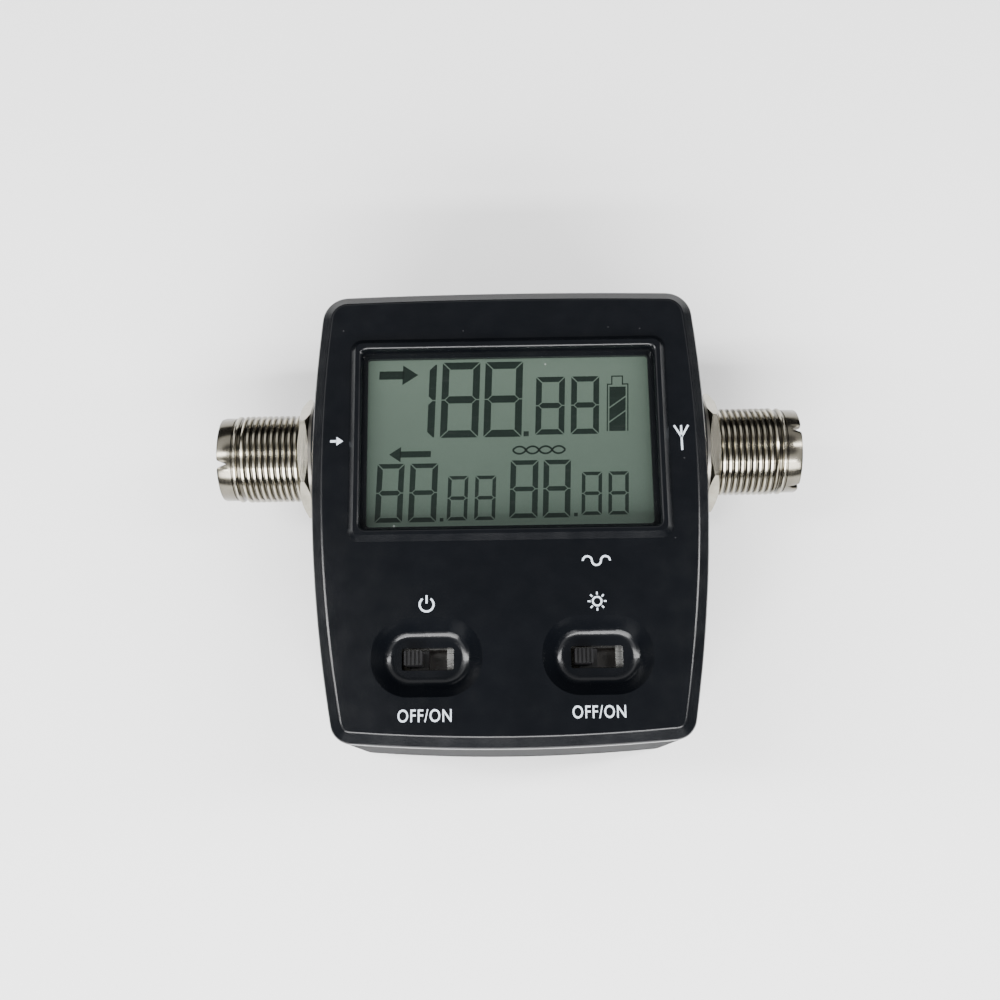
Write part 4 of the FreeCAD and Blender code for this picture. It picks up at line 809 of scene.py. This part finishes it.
def display():
    """The cell's segments: three readings, their points, a battery, two arrows and a wave."""
    low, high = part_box("lcd_glass")
    bottom = high.z + SEGMENT_GAP * MM
    lay = (bottom, bottom + PRINT_THICK * MM)
    form = bmesh.new()
    for figure in FIGURES:
        digit(form, *figure, lay)
    slab(form, (-14.2, 0.9), (-12.96, 7.5), *lay,
         cuts=[((-13.6, 7.42), (-1, 1)), ((-13.5, 1.2), (-1, -1))])
    slab(form, (-14.2, 7.7), (-12.96, 14.2), *lay,
         cuts=[((-13.6, 7.78), (-1, -1)), ((-13.5, 13.9), (-1, 1))])
    for x, y, size in POINTS:
        slab(form, (x - size / 2, y - size / 2), (x + size / 2, y + size / 2), *lay)
    battery(form, lay)
    arrow(form, (-23.0, 12.35), (-16.2, 12.35), 1.5, 3.6, lay)
    arrow(form, (-13.4, -2.1), (-20.6, -2.1), 1.1, 2.7, lay)
    for lobe in range(4):
        for first, side in ((30, -1), (210, 1)):
            middle = (1.85 + 2.25 * lobe, -1.65 + side * 0.65)
            arc(form, middle, 1.3, 0.32, lay, first, 120)
    lean = Matrix.Identity(4)
    lean[0][1] = math.tan(math.radians(FIGURE_LEAN))
    moved(form, Matrix.Translation(((low.x + high.x) / 2, (low.y + high.y) / 2, 0.0)) @ lean)
    finished("display_segments", form, INK, sharp=math.radians(1))


# ---------------------------------------------------------------- print on the face

def lettering(name, words, left, right, base, height):
    """Words printed on the face, fitted to their length and height in mm."""
    curve = bpy.data.curves.new(name, "FONT")
    curve.body = words
    curve.offset = 0.008
    curve.space_character = 1.12
    curve.resolution_u = 6
    holder = bpy.data.objects.new(name, curve)
    bpy.context.scene.collection.objects.link(holder)
    bpy.context.view_layer.update()
    mesh = bpy.data.meshes.new_from_object(holder)
    bpy.data.objects.remove(holder)
    form = bmesh.new()
    form.from_mesh(mesh)
    bpy.data.meshes.remove(mesh)
    xs = [corner.co.x for corner in form.verts]
    ys = [corner.co.y for corner in form.verts]
    size = Matrix.Diagonal(((right - left) * MM / (max(xs) - min(xs)),
                            height * MM / (max(ys) - min(ys)), 1, 1))
    moved(form, Matrix.Translation((left * MM, base * MM, face_height()))
          @ size @ Matrix.Translation((-min(xs), -min(ys), 0)))
    bmesh.ops.remove_doubles(form, verts=form.verts[:], dist=WELD)
    raised = bmesh.ops.extrude_face_region(form, geom=form.faces[:], use_keep_orig=True)
    tops = [item for item in raised["geom"] if isinstance(item, bmesh.types.BMVert)]
    bmesh.ops.translate(form, verts=tops, vec=(0, 0, PRINT_THICK * MM))
    return finished(name, form, WHITE_PRINT)


STROKE = 0.32               # the signs' lines
LAMP = (14.1, -16.0)
RAYS = 8
AERIAL_X, AERIAL_FORK = 29.4, 12.0


def face_signs():
    """Plain signs on the face: power, light, radio wave, the way in and the aerial."""
    lay = (face_height(), face_height() + PRINT_THICK * MM)
    form = bmesh.new()
    arc(form, (-14.0, -16.15), 1.15, STROKE, lay, 125, 290)
    bar(form, (-14.0, -15.95), (-14.0, -14.6), STROKE, lay)

    arc(form, LAMP, 0.72, 0.3, lay)
    for turn in range(RAYS):
        way = Vector((math.cos(math.tau * turn / RAYS), math.sin(math.tau * turn / RAYS)))
        middle = Vector(LAMP)
        bar(form, tuple(middle + way * 1.1), tuple(middle + way * 1.55), 0.26, lay)

    for hump in range(3):
        arc(form, (12.7 + 1.5 * hump, -9.2), 0.75, STROKE, lay, 180 * (hump % 2) - 1, 182)

    arrow(form, (-30.5, 12.2), (-28.3, 12.2), 0.4, 1.5, lay)

    bar(form, (AERIAL_X, 9.7), (AERIAL_X, 14.1), STROKE, lay)
    bar(form, (AERIAL_X, AERIAL_FORK), (28.2, 14.1), STROKE, lay)
    bar(form, (AERIAL_X, AERIAL_FORK), (30.6, 14.1), STROKE, lay)
    finished("face_signs", form, WHITE_PRINT)


def floor():
    """The plain floor that the meter lies on."""
    form = bmesh.new()
    bmesh.ops.create_grid(form, x_segments=1, y_segments=1, size=3.0)
    mesh = bpy.data.meshes.new("floor")
    form.to_mesh(mesh)
    form.free()
    mesh.materials.append(pale_paper())
    made = bpy.data.objects.new("floor", mesh)
    bpy.context.scene.collection.objects.link(made)


# ---------------------------------------------------------------- studio

# In metres.
METER_MIDDLE = (0, 0, 0.02)
CAMERA_PLACE = (-0.000315, -0.04812, 0.23177)
CAMERA_TURN = (14.195, 0.589, -0.766)       # degrees
CAMERA_LENS, CAMERA_SENSOR = 43.2, 36.0
NEAREST_SEEN = 0.01

# Each tone of the sky: how high, from 0.5 at the floor to 1.0 overhead, and how bright.
SKY_TONES = ((0.50, 0.06), (0.60, 1.0), (0.82, 1.0), (0.90, 0.10))
SKY_LEAN = 0.8              # the sky weakens as the way's X + Y goes from -0.8 to 0.8
SKY_STRONG, SKY_WEAK = 2.3, 1.1


def soft_light(name, place, size, power):
    """A large soft panel at place, turned to face the meter."""
    panel = bpy.data.lights.new(name, "AREA")
    panel.shape = "RECTANGLE"
    panel.size, panel.size_y = size
    panel.energy = power
    stand = bpy.data.objects.new(name, panel)
    stand.location = place
    aim = Vector(METER_MIDDLE) - Vector(place)
    stand.rotation_euler = aim.to_track_quat("-Z", "Y").to_euler()
    bpy.context.scene.collection.objects.link(stand)


def studio():
    """The camera over the face, and light from a ring of sky, stronger at the left and front."""
    lens = bpy.data.cameras.new("camera")
    lens.lens = CAMERA_LENS
    lens.sensor_width = CAMERA_SENSOR
    lens.clip_start = NEAREST_SEEN
    camera = bpy.data.objects.new("camera", lens)
    camera.location = CAMERA_PLACE
    camera.rotation_euler = tuple(math.radians(turn) for turn in CAMERA_TURN)
    bpy.context.scene.collection.objects.link(camera)
    bpy.context.scene.camera = camera

    room = bpy.data.worlds.new("room")
    room.use_nodes = True
    tree = room.node_tree
    sky = tree.nodes["Background"]
    way = tree.nodes.new("ShaderNodeSeparateXYZ")
    tree.links.new(tree.nodes.new("ShaderNodeTexCoord").outputs["Generated"], way.inputs["Vector"])
    ring = tree.nodes.new("ShaderNodeValToRGB")
    tree.links.new(way.outputs["Z"], ring.inputs["Fac"])
    tones = ring.color_ramp.elements
    tones[0].position, tones[1].position = SKY_TONES[0][0], SKY_TONES[1][0]
    for height, _ in SKY_TONES[2:]:
        tones.new(height)
    for made, (_, tone) in zip(tones, SKY_TONES):
        made.color = (tone, tone, tone, 1.0)
    tree.links.new(ring.outputs["Color"], sky.inputs["Color"])
    lean = tree.nodes.new("ShaderNodeMath")
    lean.operation = "ADD"
    tree.links.new(way.outputs["X"], lean.inputs[0])
    tree.links.new(way.outputs["Y"], lean.inputs[1])
    power = tree.nodes.new("ShaderNodeMapRange")
    tree.links.new(lean.outputs["Value"], power.inputs["Value"])
    for socket, value in (("From Min", -SKY_LEAN), ("From Max", SKY_LEAN),
                          ("To Min", SKY_STRONG), ("To Max", SKY_WEAK)):
        power.inputs[socket].default_value = value
    tree.links.new(power.outputs["Result"], sky.inputs["Strength"])
    bpy.context.scene.world = room

    soft_light("left_panel", (-0.47, 0.03, 0.47), (0.10, 0.7), 6.0)
    soft_light("right_panel", (0.47, 0.06, 0.46), (0.08, 0.6), 4.5)
    soft_light("front_panel", (0.0, -0.53, 0.36), (0.9, 0.2), 10.0)
    soft_light("high_front_panel", (0.0, -0.44, 0.49), (0.7, 0.05), 4.5)


for node_name, finish in NODE_FINISHES.items():
    for place in NODES[node_name].material_slots:
        place.material = finish

for side_name in ("tx", "ant"):
    jack(side_name)
screws("case_screws", head_height=1.8, head=5.0, shank=2.6, upwards=True)
screws("board_screws", head_height=1.3, head=3.6, shank=2.0, upwards=True)
screws("coupler_screws", head_height=1.3, head=3.6, shank=2.0, upwards=False)
display()
lettering("power_off_on", "OFF/ON", -18.65, -9.94, -35.25, 2.05)
lettering("light_off_on", "OFF/ON", 9.56, 18.16, -35.0, 2.05)
face_signs()
floor()
studio()
